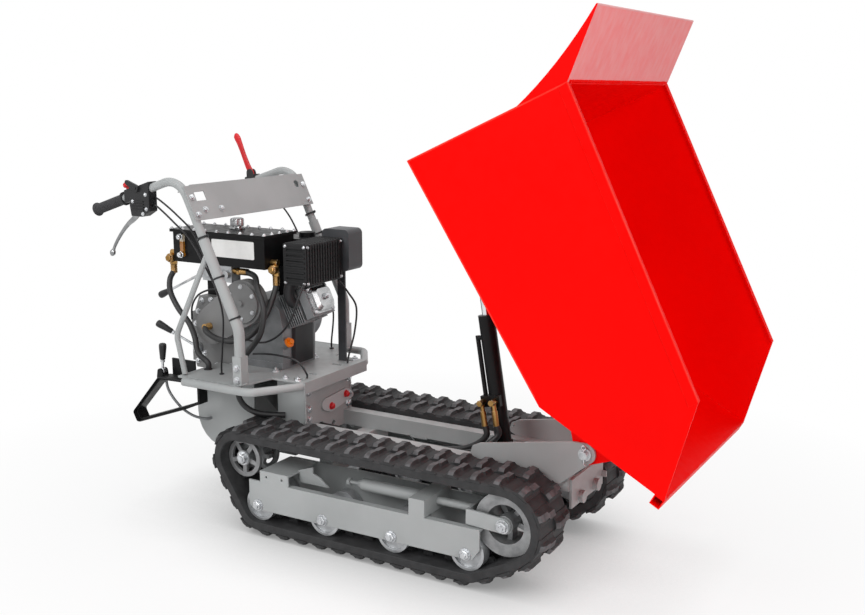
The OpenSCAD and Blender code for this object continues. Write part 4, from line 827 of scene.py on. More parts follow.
# %% Build the block tree
lug_tree, given = new_tree("blocks_along_track", {"Count": LUG_COUNT})
spaced = add_node(lug_tree, "GeometryNodeResampleCurve",
                  {"Curve": given["Geometry"], "Count": given["Count"]})
tangent = add_node(lug_tree, "GeometryNodeInputTangent").outputs["Tangent"]
outward = add_node(lug_tree, "ShaderNodeVectorMath", {0: tangent, 1: (0, 1, 0)}, operation="CROSS_PRODUCT")
along_path = aligned(lug_tree, tangent, "X")
upright = add_node(lug_tree, "FunctionNodeAlignRotationToVector",
                   {"Rotation": along_path, "Vector": outward.outputs["Vector"]}, axis="Z", pivot_axis="X")
block = add_node(lug_tree, "GeometryNodeObjectInfo", {"Object": given["Shape"]}).outputs["Geometry"]
laid = set_on_points(lug_tree, spaced.outputs["Curve"], block, {"Rotation": upright.outputs["Rotation"]})
close_tree(lug_tree, laid, given)
print("block tree nodes:", len(lug_tree.nodes))

# %% [markdown]
# ## Tread rubber
# A used tread is dark rubber, and its crowns are paler, partly from rubbed wear and partly as a painted
# sheen. A second mesh for the crowns would need a second finish, so the loft's mark is read here and
# mixes in the paler tone on the crowns only.


# %% Mix the tread rubber
def tread_rubber():
    finish, tree, shader, place = new_finish("tread_rubber")
    crown = add_node(tree, "ShaderNodeAttribute", attribute_name="crown").outputs["Fac"]
    bloom = clouds(tree, place, 0.03, 6.0)
    # Paler crowns: partly real wear, partly a painted sheen.
    worn = times(tree, crown, spread(tree, mottle(tree, place, 0.02, 4.0), 0.35, 1.0))
    base = two_tone(tree, bloom, tone("#2b2b2c"), tone("#3b3b3c"))
    colour = two_tone(tree, worn, base, tone("#68686a"))
    skin = {"Strength": 0.5, "Distance": 0.0006, "Height": mottle(tree, place, 0.004, 3.0)}
    roughness = spread(tree, bloom, 0.6, 0.78, 0.0, 1.0)
    dress(tree, shader, colour, roughness, skin, {"Specular IOR Level": 0.35})
    return finish


tread = tread_rubber()
print("tread rubber ready")

# %% [markdown]
# ## Both tracks
# Each track gets its band, two rows of blocks that stand half a step apart, and two rows of nubs. The
# left track is not a mirror of the right one, because both come from one mould.

# %% Lay the tracks
NUB_ROWS_APART = 0.039


def blocks(name, shape, middle, phase):
    start = phase * lug_pitch
    path = [track_point(start + spot, BELT_T / 2) for spot in path_spots]
    base = route_object(name + "_path", [[(p.x, middle, p.y) for p in path]], True)
    sizes = {"Count": LUG_COUNT, "Shape": shape, "Finish": tread}
    return add_piece(name, grow(name, lug_tree, base, sizes), "chassis")


for side in ("right", "left"):
    middle = joint_place[side + "_idler_turn"].y
    whole_band = band_mesh(side + "_track_band", middle)
    band = add_piece(side + "_track_band", whole_band, "chassis", tread)
    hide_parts(side + "_track_belt")
    rows = [blocks(side + "_near_blocks", near_lug, middle, 0.0),
            blocks(side + "_far_blocks", far_lug, middle, 0.5),
            blocks(side + "_far_nubs", nub_pattern, middle, 0.0),
            blocks(side + "_near_nubs", nub_pattern, middle - NUB_ROWS_APART, 0.0)]
    print(side, "track blocks:", sum(len(row.data.polygons) for row in rows), "faces")
for pattern in (near_lug, far_lug, nub_pattern):
    bpy.data.objects.remove(pattern)

# %% [markdown]
# ## Turned pieces
# Knobs, grips, caps and ties are round about an axis. A screw modifier could spin a profile, but
# turning it in code gives closed, even rings, and one helper serves every round piece of the machine.


# %% Turn a profile round an axis
def turned_mesh(name, profile, start, way, sides=24, ridge=0.0):
    way = Vector(way).normalized()
    across = way.orthogonal().normalized()
    over = way.cross(across)
    turns = [math.tau * k / sides for k in range(sides)]
    spokes = [math.cos(a) * across + math.sin(a) * over for a in turns]
    rings = []
    for radius, along in profile:
        centre = Vector(start) + way * along
        reach = [radius + (ridge if k % 2 and ridge < radius / 4 else 0.0) for k in range(sides)]
        rings.append([(centre + r * spoke) * MM for r, spoke in zip(reach, spokes)])
    return lofted(name, rings)


def merged_piece(name, meshes, body, finish, smooth_below=40):
    whole = bmesh.new()
    for mesh in meshes:
        whole.from_mesh(mesh)
        bpy.data.meshes.remove(mesh)
    made = plain_mesh(name, whole)
    made.shade_smooth()
    made.set_sharp_from_angle(angle=math.radians(smooth_below))
    return add_piece(name, made, body, finish)


print("lathe ready")

# %% [markdown]
# ## Hand levers
# The valve, gear and range levers are bright rods with a black moulded knob. The solid model has each
# lever as one piece, so here a plated rod and a knob stand for it and turn with the same body. The
# knob widens toward its end, which is what a thumb feels for.

# %% Make the rods and knobs
KNOB_R = 12.5
ROD_R = 4.5
COLLAR_R = ROD_R + 3
KNOB_END = 0.3
# joint, middle of the knob, length of the knob, radius of the hub, half of the hub's width
levers = {
    "valve_lever": ("valve_shift", (-915, -104, 687), 50, 14, 9),
    "gear_lever": ("gear_shift", (-884, -146, 578), 62, 16, 8),
    "range_lever": ("range_shift", (-811, -235, 520), 56, 12, 7),
}
for lever, (joint, middle, length, hub_r, hub_half) in levers.items():
    foot = joint_place[joint] / MM
    way = (Vector(middle) - foot).normalized()
    knob_start = Vector(middle) - way * length / 2
    reach = (knob_start - foot).length
    hub = [(hub_r - 1, 0), (hub_r, 1), (hub_r, 2 * hub_half - 1), (hub_r - 1, 2 * hub_half)]
    rod = [(ROD_R, 0), (ROD_R, reach - 9), (COLLAR_R, reach - 8.5), (COLLAR_R, reach - 2),
           (ROD_R, reach - 1.5), (ROD_R, reach + 6)]
    knob = [(6.5, 0), (8.6, 0.8), (9, 3), (KNOB_R, length - 16), (KNOB_R, length - 7),
            (KNOB_R - 1.2, length - 3), (8, length - 0.8), (1, length - KNOB_END)]
    metal = [turned_mesh("hub", hub, foot - Vector((0, hub_half, 0)), (0, 1, 0)),
             turned_mesh("rod", rod, foot, way, 12)]
    plated = merged_piece(lever + "_rod", metal, lever, zinc_steel)
    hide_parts(lever)
    moulding = [turned_mesh("knob", knob, knob_start, way, 28)]
    merged_piece(lever + "_knob", moulding, lever, black_plastic)
print("levers:", ", ".join(levers))

# %% [markdown]
# ## Ribbed grips
# A soft grip is moulded with rings so that a wet glove holds it. The rings are a rule, so the profile
# is worked out in a loop and turned once for each handle.

# %% Mould the grips
BAR_TOP = Vector((-656.4, 0, 1105.6))
BAR_END = Vector((-1018, 0, 986))
HANDLE_Y = 285
GRIP_LEN = 140
GRIP_R = 17.5
COLLAR_GRIP_R = 22.4
GROOVE_R = GRIP_R - 1.6
RIB_PITCH = 7
RIB_COUNT = int((GRIP_LEN - 22) / RIB_PITCH)
back = (BAR_END - BAR_TOP).normalized()
profile = [(2, 0), (16, 0.3), (20.5, 1.5), (COLLAR_GRIP_R, 4), (COLLAR_GRIP_R, 6.5), (GRIP_R, 9)]
for i in range(RIB_COUNT):
    at = 10 + RIB_PITCH * i
    profile += [(GROOVE_R, at + 0.6), (GROOVE_R, at + 2), (GRIP_R, at + 3), (GRIP_R, at + 6.4)]
profile += [(GRIP_R, GRIP_LEN - 7), (COLLAR_GRIP_R, GRIP_LEN - 5), (COLLAR_GRIP_R, GRIP_LEN - 1),
            (21.4, GRIP_LEN - 0.2), (13.6, GRIP_LEN - 0.2)]
sleeves = []
for side in (-1, 1):
    rear = BAR_END + back * 6 + Vector((0, side * HANDLE_Y, 0))
    sleeves.append(turned_mesh("sleeve", profile, rear, -back, 32))
grips = merged_piece("ribbed_grips", sleeves, "chassis", grip_rubber, smooth_below=25)
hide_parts("handle_grips")
print("grip rings:", RIB_COUNT, "on each side")

# %% [markdown]
# ## Bolts and screws
# A machine like this is held together by plated hex bolts. Each is the same thing at another size: a
# washer, a six-sided head and the end of a thread. One node tree builds that from a few sizes and
# sets a copy on every seat, turned by a random amount, because no two bolts stop at the same angle.

# %% Build the bolt tree
bolt_sizes = {"Washer radius": 0.0105, "Washer height": 0.002, "Head radius": 0.0092, "Head height": 0.0064,
              "Stub radius": 0.005, "Stub height": 0.003}
bolt_tree, given = new_tree("bolts_on_seats", {**bolt_sizes, "Seed": 4})
joined = add_node(bolt_tree, "GeometryNodeJoinGeometry")


def facing_of(tree):
    facing = {"Name": "facing"}
    read = add_node(tree, "GeometryNodeInputNamedAttribute", facing, data_type="FLOAT_VECTOR")
    return read.outputs["Attribute"]


def bolt_layer(level, radius, share, height, sides):
    top = times(bolt_tree, radius, share)
    cone = {"Vertices": sides, "Radius Bottom": radius, "Radius Top": top, "Depth": height}
    shape = add_node(bolt_tree, "GeometryNodeMeshCone", cone).outputs["Mesh"]
    lift = add_node(bolt_tree, "ShaderNodeCombineXYZ", {"Z": level}).outputs["Vector"]
    raised = add_node(bolt_tree, "GeometryNodeTransform", {"Geometry": shape, "Translation": lift})
    bolt_tree.links.new(raised.outputs["Geometry"], joined.inputs["Geometry"])
    return times(bolt_tree, level, height, "ADD")


HEX = 6
flats, bevel = times(bolt_tree, given["Head height"], 0.8), times(bolt_tree, given["Head height"], 0.2)
level = times(bolt_tree, 0.0, 0.0)
for radius, share, height, sides in ((given["Washer radius"], 0.96, given["Washer height"], 20),
                                     (given["Head radius"], 1.0, flats, HEX),
                                     (given["Head radius"], 0.82, bevel, HEX),
                                     (given["Stub radius"], 0.9, given["Stub height"], 10)):
    level = bolt_layer(level, radius, share, height, sides)
facing = facing_of(bolt_tree)
any_turn = {2: 0.0, 3: math.tau, 8: given["Seed"]}
chance = add_node(bolt_tree, "FunctionNodeRandomValue", any_turn, data_type="FLOAT")
spin = {"Axis": facing, "Angle": chance.outputs[1]}
spun = add_node(bolt_tree, "FunctionNodeAxisAngleToRotation", spin).outputs["Rotation"]
both = add_node(bolt_tree, "FunctionNodeRotateRotation",
                {"Rotation": aligned(bolt_tree, facing, "Z"), "Rotate By": spun}, rotation_space="GLOBAL")
placed = set_on_points(bolt_tree, given["Geometry"], joined.outputs["Geometry"],
                       {"Rotation": both.outputs["Rotation"]})
close_tree(bolt_tree, placed, given)
print("bolt tree nodes:", len(bolt_tree.nodes))

# %% [markdown]
# ## Seats and sizes
# A seat is a place and the way that its bolt faces. Seats could be empty objects, but points with an
# attribute are lighter, and the tree reads them at once. A bolt's sizes grow with its thread, as they do
# in a table of bolts, so one number gives all six.


# %% Seat the bolts
def seats_object(name, seats):
    mesh = bpy.data.meshes.new(name)
    mesh.from_pydata([Vector(place) * MM for place, _ in seats], [], [])
    ways = mesh.attributes.new("facing", "FLOAT_VECTOR", "POINT")
    for item, (_, way) in zip(ways.data, seats):
        item.vector = Vector(way).normalized()
    return plain_object(name, mesh)


def nut(*sizes):
    return dict(zip(bolt_sizes, sizes))


def hex_bolt(thread, washer=1.1, stub=0.25):
    return nut(washer * thread, 0.2 * thread, 0.95 * thread, 0.62 * thread, 0.48 * thread, stub * thread)


def bolts(name, seats, sizes, body="chassis", finish=zinc_steel):
    scaled = {label: value * MM for label, value in sizes.items()}
    base = seats_object(name + "_seats", seats)
    mesh = grow(name, bolt_tree, base, {**scaled, "Seed": len(seats), "Finish": finish})
    return add_piece(name, mesh, body)


print("washer of a 9 mm bolt:", round(2 * hex_bolt(9)["Washer radius"], 1), "mm wide")

# %% [markdown]
# ## Wheel nuts
# Large nuts hold the rollers, the idlers and the sprockets. Their places could be typed in, but they
# belong to axles, so they are read from the joints. The sprocket's nut turns with its sprocket and
# the others stand still.

# %% Set the wheel nuts
FRAME_FACE = 318
FORK_FACE = 307
HUB_FACE = 296
near, far, up, ahead = (0, -1, 0), (0, 1, 0), (0, 0, 1), (1, 0, 0)
both_sides = ((-1, near), (1, far))
axle_nut = nut(19, 3, 15.5, 9.5, 9, 4)
idler_nut = nut(21, 4, 17, 11, 9, 4)
hub_nut = nut(23, 2, 17.5, 10.5, 10, 3)
axle_seats, idler_seats = [], []
for side, face, sign in (("right", near, -1), ("left", far, 1)):
    for i in (1, 2, 3, 4):
        hub = joint_place[f"{side}_roller_{i}_turn"] / MM
        axle_seats.append(((hub.x, sign * FRAME_FACE, hub.z), face))
    hub = joint_place[side + "_idler_turn"] / MM
    idler_seats.append(((hub.x, sign * FORK_FACE, hub.z), face))
    hub = joint_place[side + "_sprocket_turn"] / MM
    bolts(side + "_sprocket_nut", [((hub.x, sign * HUB_FACE, hub.z), face)], hub_nut, side + "_sprocket")
bolts("axle_nuts", axle_seats, axle_nut)
bolts("idler_nuts", idler_seats, idler_nut)
print("axle nuts:", len(axle_seats), "idler nuts:", len(idler_seats))

# %% [markdown]
# ## Tank lid and console
# Small screws clamp the oil tank's lid at even steps, and larger bolts hold the console to the
# sloping tubes and the tubes to the deck. The lid's screws are counted along its edges, because a
# hand-typed row never comes out even. The console's are placed along the slope and across the
# machine.

# %% Set the lid screws and the console bolts
LID_INSET = 6
PLATE_FRONT = 17.1
FOOT_FACE = 302


def box_mm(node):
    low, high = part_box(node)
    return low / MM, high / MM


def even_row(low, high, inset, gaps):
    return [low + inset + (high - low - 2 * inset) * k / gaps for k in range(gaps + 1)]


lid_low, lid_high = box_mm("oil_tank")
long_side = even_row(lid_low.x, lid_high.x, LID_INSET, 8)
short_side = even_row(lid_low.y, lid_high.y, LID_INSET, 4)[1:-1]
lid_spots = [(x, y) for x in long_side for y in (lid_low.y + LID_INSET, lid_high.y - LID_INSET)]
lid_spots += [(x, y) for x in (lid_low.x + LID_INSET, lid_high.x - LID_INSET) for y in short_side]
bolts("lid_screws", [((x, y, lid_high.z), up) for x, y in lid_spots], hex_bolt(6, 1.15, 0.4))

KNEE = Vector((-437, 0, 643))
BAR_SLOPE = (BAR_TOP - KNEE).normalized()
front = Vector((BAR_SLOPE.z, 0, -BAR_SLOPE.x))


def on_bars(y, along):
    return KNEE + Vector((0, y, 0)) + BAR_SLOPE * along


console_spots = ((-284, 378), (-284, 436), (-245, 392), (-172, 390), (284, 378), (284, 436))
console_seats = [(on_bars(y, along) + front * PLATE_FRONT, front) for y, along in console_spots]
bolts("console_bolts", console_seats, hex_bolt(9))
foot_seats = [((KNEE.x, sign * FOOT_FACE, z), face) for sign, face in both_sides for z in (486, 524)]
bolts("foot_bolts", foot_seats, hex_bolt(11))
print("screws on the tank lid:", len(lid_spots), "bolts on the console:", len(console_seats))

# %% [markdown]
# ## Gearbox
# Bolts follow the gearbox's rim on both sides, and a ring of six holds the belt cover. The rim has no
# rule, so its places are listed once and used for both sides. The ring has one, so it is worked out.

# %% Set the gearbox bolts
CASE_HALF = 95
COVER_RING_R = 54
COVER_RIM = 8
COVER_BOLTS = 6
DRIVE = Vector((-548, 0, 692))
rim = [(-784, 462), (-790, 500), (-790, 545), (-786, 592), (-774, 636), (-756, 674), (-716, 681),
       (-674, 679), (-752, 492), (-640, 460), (-700, 456)]
case_seats = [((x, sign * CASE_HALF, z), face) for x, z in rim for sign, face in both_sides]
bolts("case_bolts", case_seats, hex_bolt(9))
cover_face = box_mm("belt_cover")[0].y + COVER_RIM
cover_turns = [math.tau * (k + 0.5) / COVER_BOLTS for k in range(COVER_BOLTS)]
cover_ring = [(DRIVE.x + COVER_RING_R * math.cos(a), DRIVE.z + COVER_RING_R * math.sin(a))
              for a in cover_turns]
bolts("cover_bolts", [((x, cover_face, z), near) for x, z in cover_ring], hex_bolt(7))
print("bolts on the gearbox:", len(case_seats), "on the belt cover:", len(cover_ring))

# %% [markdown]
# ## Pedestal and deck
# The pedestal has a row of bolts down each side and a pale latch plate with two red nuts, and bolts
# on wide washers hold the deck down. The plate is a rounded shape round four places. It could be cut
# from a sheet, but the hull of four circles gives the same outline, and a slightly smaller step on
# top eases its edge.

# %% Set the latch plate and the deck bolts
DECK_Z = 470
ped_front = box_mm("pedestal")[1].x
PED_FACE = ped_front - 15
LATCH_FACE = ped_front - 9
LATCH_BOLTS = ((6, 346), (90, 368))
LATCH_ROUNDS = ((-24, 358, 20), (6, 346, 20), (90, 368, 19), (126, 356, 9))
LATCH_STEPS = ((-0.5, 0), (0.8, 0), (1.5, 0.7))
ROUND_SIDES = 24
red_nut = nut(13, 2, 10.5, 9.5, 5, 0.5)
latch_seats = [((LATCH_FACE, y, z), ahead) for y, z in LATCH_BOLTS]
bolts("latch_bolts", latch_seats, red_nut, "chassis", red_plastic)


def hull_mesh(name, points):
    whole = bmesh.new()
    for point in points:
        whole.verts.new(Vector(point) * MM)
    found = bmesh.ops.convex_hull(whole, input=whole.verts)
    inside = found["geom_interior"] + found["geom_unused"]
    spare = {item for item in inside if isinstance(item, bmesh.types.BMVert)}
    bmesh.ops.delete(whole, geom=list(spare), context="VERTS")
    bmesh.ops.recalc_face_normals(whole, faces=whole.faces)
    return plain_mesh(name, whole)


latch_turns = [math.tau * k / ROUND_SIDES for k in range(ROUND_SIDES)]
latch_points = [(LATCH_FACE + rise, y + (r - ease) * math.cos(a), z + (r - ease) * math.sin(a))
                for y, z, r in LATCH_ROUNDS for rise, ease in LATCH_STEPS for a in latch_turns]
add_piece("latch_plate", hull_mesh("latch_plate", latch_points), "chassis", pale_grey)
ped_seats = [((PED_FACE, y, z), ahead) for y in (-112, 112) for z in (330, 364, 420)]
bolts("pedestal_bolts", ped_seats, hex_bolt(12, 1.2))
deck_seats = [((x, y, DECK_Z), up) for x in (-588, -442) for y in (-104, 114)]
deck_seats += [((x, y, DECK_Z), up) for x in (-310, -360) for y in (-160, 160)]
bolts("deck_bolts", deck_seats, hex_bolt(10, 1.25, 0.5))
print("bolts on the pedestal:", len(ped_seats), "on the deck:", len(deck_seats))

# %% [markdown]
# ## Shield, lever housings and gauge
# Small screws hold the silencer's shield and the lever housings, and two bright nuts clamp the sight
# gauge. They use the same tree again: only the sizes and the seats differ.

# %% Set the small screws
SHIELD_ROWS = (768, 884)
SHIELD_INSET = 8
HOUSE_FACE = -303


def middle_mm(node):
    low, high = box_mm(node)
    return (low + high) / 2


muff_low, muff_high = box_mm("muffler")
shield_y = (muff_low.y + SHIELD_INSET, muff_high.y - SHIELD_INSET)
shield_seats = [((muff_high.x, y, z), ahead) for y in shield_y for z in SHIELD_ROWS]
shield_seats += [((x, muff_low.y, z), near) for x in (-397, -323) for z in SHIELD_ROWS]
bolts("shield_screws", shield_seats, hex_bolt(5))
house_spots = ((-842, 1022), (-786, 1046), (-800, 984), (-784, 1000))
bolts("housing_screws", [((x, HOUSE_FACE, z), near) for x, z in house_spots], hex_bolt(5, 1.3, 0.1))
gauge_x, gauge_face = middle_mm("sight_gauge").x, box_mm("sight_gauge")[0].y
gauge_seats = [((gauge_x, gauge_face, z), near) for z in (831, 891)]
bolts("gauge_nuts", gauge_seats, nut(11, 3, 9.5, 10, 5, 2), "chassis", chrome)
print("small screws:", len(shield_seats) + len(house_spots), "gauge nuts:", len(gauge_seats))

# %% [markdown]
# ## Tank dressings
# The oil tank carries a plain white plate and a plated filler cap with a milled edge. The plate is a
# rounded rectangle a millimetre thick. The cap's milling could be cut as notches, but pushing every
# second point of the turned ring outward is cheaper and looks the same.


# %% Add the plate and the cap
def plate_mesh(name, corner_a, corner_b, depths, corner_r, steps=5):
    (x0, z0), (x1, z1) = corner_a, corner_b
    outline = []
    for cx, cz, first in ((x1 - corner_r, z1 - corner_r, 0), (x0 + corner_r, z1 - corner_r, 90),
                          (x0 + corner_r, z0 + corner_r, 180), (x1 - corner_r, z0 + corner_r, 270)):
        turns = [math.radians(first + 90 * k / steps) for k in range(steps + 1)]
        outline += [(cx + corner_r * math.cos(a), cz + corner_r * math.sin(a)) for a in turns]
    return lofted(name, [[Vector((x, y, z)) * MM for x, z in outline] for y in depths])


def plate_finish():
    finish, tree, shader, place = new_finish("blank_plate_white")
    cloud = clouds(tree, place, 0.03, 4.0)
    colour = two_tone(tree, cloud, tone("#efefed"), tone("#f5f5f3"))
    dress(tree, shader, colour, spread(tree, cloud, 0.3, 0.42, 0.0, 1.0))
    return finish


TANK_NEAR = -120
PLATE_LOW = (-681, 834)
PLATE_HIGH = (-504, 892)
PLATE_DEPTHS = (TANK_NEAR + 0.2, TANK_NEAR - 1.0, TANK_NEAR - 1.2)
PLATE_CORNER = 5
blank = plate_mesh("blank_plate", PLATE_LOW, PLATE_HIGH, PLATE_DEPTHS, PLATE_CORNER)
add_piece("blank_plate", blank, "chassis", plate_finish())

cap_middle = middle_mm("filler_cap")
cap_at = Vector((cap_middle.x, cap_middle.y, lid_high.z))
cap_h = box_mm("filler_cap")[1].z - lid_high.z
flange = [(24, 0.4), (27, 0.8), (27, 4), (25.5, 5.5), (21, 6), (20.5, 9.5), (23, 11)]
crown = [(22, 12), (22, cap_h - 7), (20.5, cap_h - 3), (15, cap_h - 0.8), (1, cap_h - 0.2)]
MILLING = 0.9
cap_turned = [turned_mesh("flange", flange, cap_at, up, 40),
              turned_mesh("crown", crown, cap_at, up, 64, MILLING)]
cap = merged_piece("milled_cap", cap_turned, "filler_cap", worn_chrome, smooth_below=30)
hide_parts("filler_cap")
print("cap height", round(cap_h), "mm")

# %% [markdown]
# ## Skip edges
# The skip is folded from sheet. The upper edge of each side carries a flat stiffening strip, and each
# fold and the guard's outer edge catch the light as a thin line. Both could be edges of the solids,
# but those are too sharp to catch light. So the strip is a bar with eased corners, and the lines are
# swept along the folds in paler reds, a painted highlight on each fold and on the guard's edge. They
# are placed in the skip's own flat coordinates, along its floor and up from it, and then tipped.

# %% Stiffen and line the skip
HINGE = joint_place["skip_tip"] / MM
TIP = math.radians(57.3)
HINGE_ALONG = 907
HINGE_DROP = 75
SKIP_HALF = 372
STRIP_W = 26
STRIP_T = 3
FOLD_R = 2.6
FOLD_SIDES = 10
GUARD_TIP = (-38, 642)
EDGE_Y = SKIP_HALF - 3
FOLD_Y = SKIP_HALF - 1.4
rim_start, rim_end = (74, 487), (889, 384)
rear_floor, rear_rim, front_rim, front_floor = (2, 2), (74, 486), (889, 383), (700, 2)


def on_skip(along, rise, y):
    u, v = along - HINGE_ALONG, rise + HINGE_DROP
    x = HINGE.x + u * math.cos(TIP) + v * math.sin(TIP)
    z = HINGE.z - u * math.sin(TIP) + v * math.cos(TIP)
    return Vector((x, y, z))


def flat_bar(name, start, end, inward, side):
    section = [(0.6, 0), (STRIP_W, 0), (STRIP_W, 2.2), (STRIP_W - 0.8, STRIP_T), (1.4, STRIP_T), (0.6, 2.2)]
    out = Vector((0, side, 0))
    return lofted(name, [[(p + inward * a + out * b) * MM for a, b in section] for p in (start, end)])


inward = (on_skip(0, -1, 0) - on_skip(0, 0, 0)).normalized()
strips, folds = [], []
for side in (-1, 1):
    first, last = on_skip(*rim_start, side * SKIP_HALF), on_skip(*rim_end, side * SKIP_HALF)
    strips.append(flat_bar("strip", first, last, inward, side))
    for one, other in ((rear_floor, rear_rim), (rear_rim, front_rim), (rear_floor, front_floor)):
        folds.append([on_skip(*one, side * FOLD_Y), on_skip(*other, side * FOLD_Y)])
merged_piece("rim_strips", strips, "skip", red_paint, smooth_below=20)
guard_line = [on_skip(*GUARD_TIP, y) for y in (-EDGE_Y, EDGE_Y)]
# The fold lines and the guard's edge get paler reds: a painted highlight.
for name, lines, finish in (("fold_lines", folds, fold_highlight_red), ("guard_edge", [guard_line], guard_edge_highlight_red)):
    edge_mesh = swept_mesh(name, [in_metres(line) for line in lines], FOLD_R, FOLD_SIDES, finish)
    add_piece(name, edge_mesh, "skip")
print("folds lined:", len(folds))

# %% [markdown]
# ## Weld beads
# A welded seam is a row of overlapping ripples. A bump map would leave its outline straight, so the
# seam's points go in as a plain list, and a node tree sets a small drop on each, a little larger or
# smaller by chance.

# %% Lay the weld beads
WELD_PITCH = 4.5
weld_tree, given = new_tree("ripples_along_seam", {"Radius": 0.004, "Seed": 7})
ball = {"Segments": 8, "Rings": 5, "Radius": given["Radius"]}
drop = add_node(weld_tree, "GeometryNodeMeshUVSphere", ball)
swell_limits = {2: 0.85, 3: 1.2, 8: given["Seed"]}
swell = add_node(weld_tree, "FunctionNodeRandomValue", swell_limits, data_type="FLOAT")
laid = {"Rotation": aligned(weld_tree, facing_of(weld_tree), "X"), "Scale": swell.outputs[1]}
dropped = set_on_points(weld_tree, given["Geometry"], drop.outputs["Mesh"], laid)
soft = add_node(weld_tree, "GeometryNodeSetShadeSmooth", {"Geometry": dropped})
close_tree(weld_tree, soft.outputs["Geometry"], given)


def welds(name, seams, radius, body, finish):
    seats = []
    for seam in seams:
        for start, end in zip(seam, seam[1:]):
            start, way = Vector(start), Vector(end) - Vector(start)
            count = max(2, round(way.length / WELD_PITCH))
            seats += [(start + way * i / count, way) for i in range(count)]
    base = seats_object(name + "_seam", seats)
    mesh = grow(name, weld_tree, base, {"Radius": radius * MM, "Finish": finish})
    return add_piece(name, mesh, body)


def loop_at(x, y, z, r, steps=16):
    turns = [math.tau * k / steps for k in range(steps + 1)]
    return [(x + r * math.cos(a), y + r * math.sin(a), z) for a in turns]


RAIL_HALF = 126
CHEEK_T = 8
DECK_UNDER = DECK_Z - 6
DECK_SEAM = ped_front - 14
POST_WELD_R = 18
FRAME_BEAD = 4
SKIP_BEAD = 3.5
seams = [loop_at(KNEE.x, sign * HANDLE_Y, DECK_Z + 1, POST_WELD_R) for sign in (-1, 1)]
for sign in (-1, 1):
    seam_y, cheek_y = sign * (RAIL_HALF + 1), sign * (RAIL_HALF + CHEEK_T / 2)
    seams.append([(PED_FACE, sign * RAIL_HALF, 313), (PED_FACE, sign * RAIL_HALF, DECK_UNDER)])
    seams.append([(300, cheek_y, 326), (312, seam_y, 348)])
    seams.append([(410, seam_y, 267), (580, seam_y, 267)])
seams.append([(DECK_SEAM, -RAIL_HALF, DECK_UNDER), (DECK_SEAM, RAIL_HALF, DECK_UNDER)])
welds("frame_welds", seams, FRAME_BEAD, "chassis", grey_paint)
guard_seam = [[on_skip(72, 490, y) for y in (-360, 360)]]
welds("skip_welds", guard_seam, SKIP_BEAD, "skip", red_paint)
print("seams:", len(seams) + len(guard_seam))

# %% [markdown]
# ## Bent hand levers
# The brake lever and the red clutch lever are bent bars that swell at the end. A swept profile would
# keep one thickness, so a row of spine points with a depth and a width at each is eased into a smooth
# run, and an eight-sided ring follows it. The stop button is turned like the knobs.


# %% Bend the hand levers
def lever_mesh(name, spine, y, steps=6):
    run = eased(spine, steps)
    corners = [(1, 0.5), (0.5, 1), (-0.5, 1), (-1, 0.5), (-1, -0.5), (-0.5, -1), (0.5, -1), (1, -0.5)]
    rings = []
    for i, (x, z, depth, width) in enumerate(run):
        before, after = run[max(i - 1, 0)], run[min(i + 1, len(run) - 1)]
        way = Vector((after.x - before.x, after.y - before.y)).normalized()
        rings.append([Vector((x - way.y * a * depth, y + b * width, z + way.x * a * depth)) * MM
                      for a, b in corners])
    return lofted(name, rings)


brake_y = (joint_place["brake_squeeze"] / MM).y
clutch_y = (joint_place["clutch_press"] / MM).y
brake_spine = [(-823, 998, 9, 5), (-838, 984, 10.5, 5.5), (-858, 964, 8.5, 5.5), (-886, 944, 6.5, 5.5),
               (-912, 919, 5.5, 5.2), (-934, 893, 5.0, 5.2), (-949, 872, 4.6, 5), (-957, 858, 4.8, 5),
               (-961, 850, 8.5, 8), (-964, 843, 8.5, 8), (-967, 836, 4, 4)]
bar = [lever_mesh("brake", brake_spine, brake_y)]
brake = merged_piece("bent_brake_lever", bar, "brake_lever", worn_chrome, smooth_below=50)
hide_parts("brake_lever")
clutch_spine = [(-832, 1066, 8, 4), (-841, 1078, 11.5, 4.5), (-853, 1098, 10.5, 5), (-866, 1126, 9.5, 5),
                (-878, 1154, 9.5, 5), (-889, 1180, 10.5, 5.5), (-898, 1198, 12, 5.5), (-906, 1209, 10, 5),
                (-910, 1212, 4, 3)]
bar = [lever_mesh("clutch", clutch_spine, clutch_y)]
clutch = merged_piece("bent_clutch_lever", bar, "clutch_lever", red_plastic, smooth_below=50)
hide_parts("clutch_lever")
switch_way = Vector((-0.314, 0, 0.949))
switch_top = middle_mm("stop_switch") + switch_way * 2
profile = [(8.5, -10), (8.5, 0), (12, 1), (15, 4), (15.8, 9), (14.5, 14), (10, 17.5), (1, 18.5)]
turning = [turned_mesh("button", profile, switch_top, switch_way, 32)]
button = merged_piece("stop_button", turning, "stop_switch", red_plastic)
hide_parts("stop_switch")
print("levers bent: 2, stop button:", [round(v) for v in switch_top])

# %% [markdown]
# ## Hose ends
# A crimped brass sleeve with a hex nut ends each deck hose at its port, and on two of them an eye
# with a bolt holds it there. They could be cut like the solids, but all are round or six-sided, so
# the lathe makes them, and one mesh takes them all.

# %% Fit the hose ends
CRIMP_R = 11.5
GROOVE_CRIMP_R = 10.6
EYE_DEPTH = 18
crimp = [(9.6, 0), (CRIMP_R, 0.6)]
for at in (4, 10, 16, 22):
    crimp += [(CRIMP_R, at), (GROOVE_CRIMP_R, at + 1), (GROOVE_CRIMP_R, at + 2), (CRIMP_R, at + 3)]
crimp += [(CRIMP_R, 29), (8.5, 30)]
hex_nut = [(9, 30), (12.6, 30.6), (12.6, 41), (9, 41.6)]
eye = [(9, 0), (14.5, 1), (15.5, 3), (15.5, 19), (14.5, 21), (9, 22)]
head = [(6, 21), (11.8, 21.4), (11.8, 27.5), (10.4, 29), (1, 29.2)]
ends = [((-864, -108, 762), up), ((-446, -84, 752), up), ((-549, -100, 788), (-1, 0, 0)),
        ((-690, -163, 600), far)]
fitted = []
for place, way in ends:
    fitted += [turned_mesh("crimp", crimp, place, way, 24), turned_mesh("nut", hex_nut, place, way, HEX)]
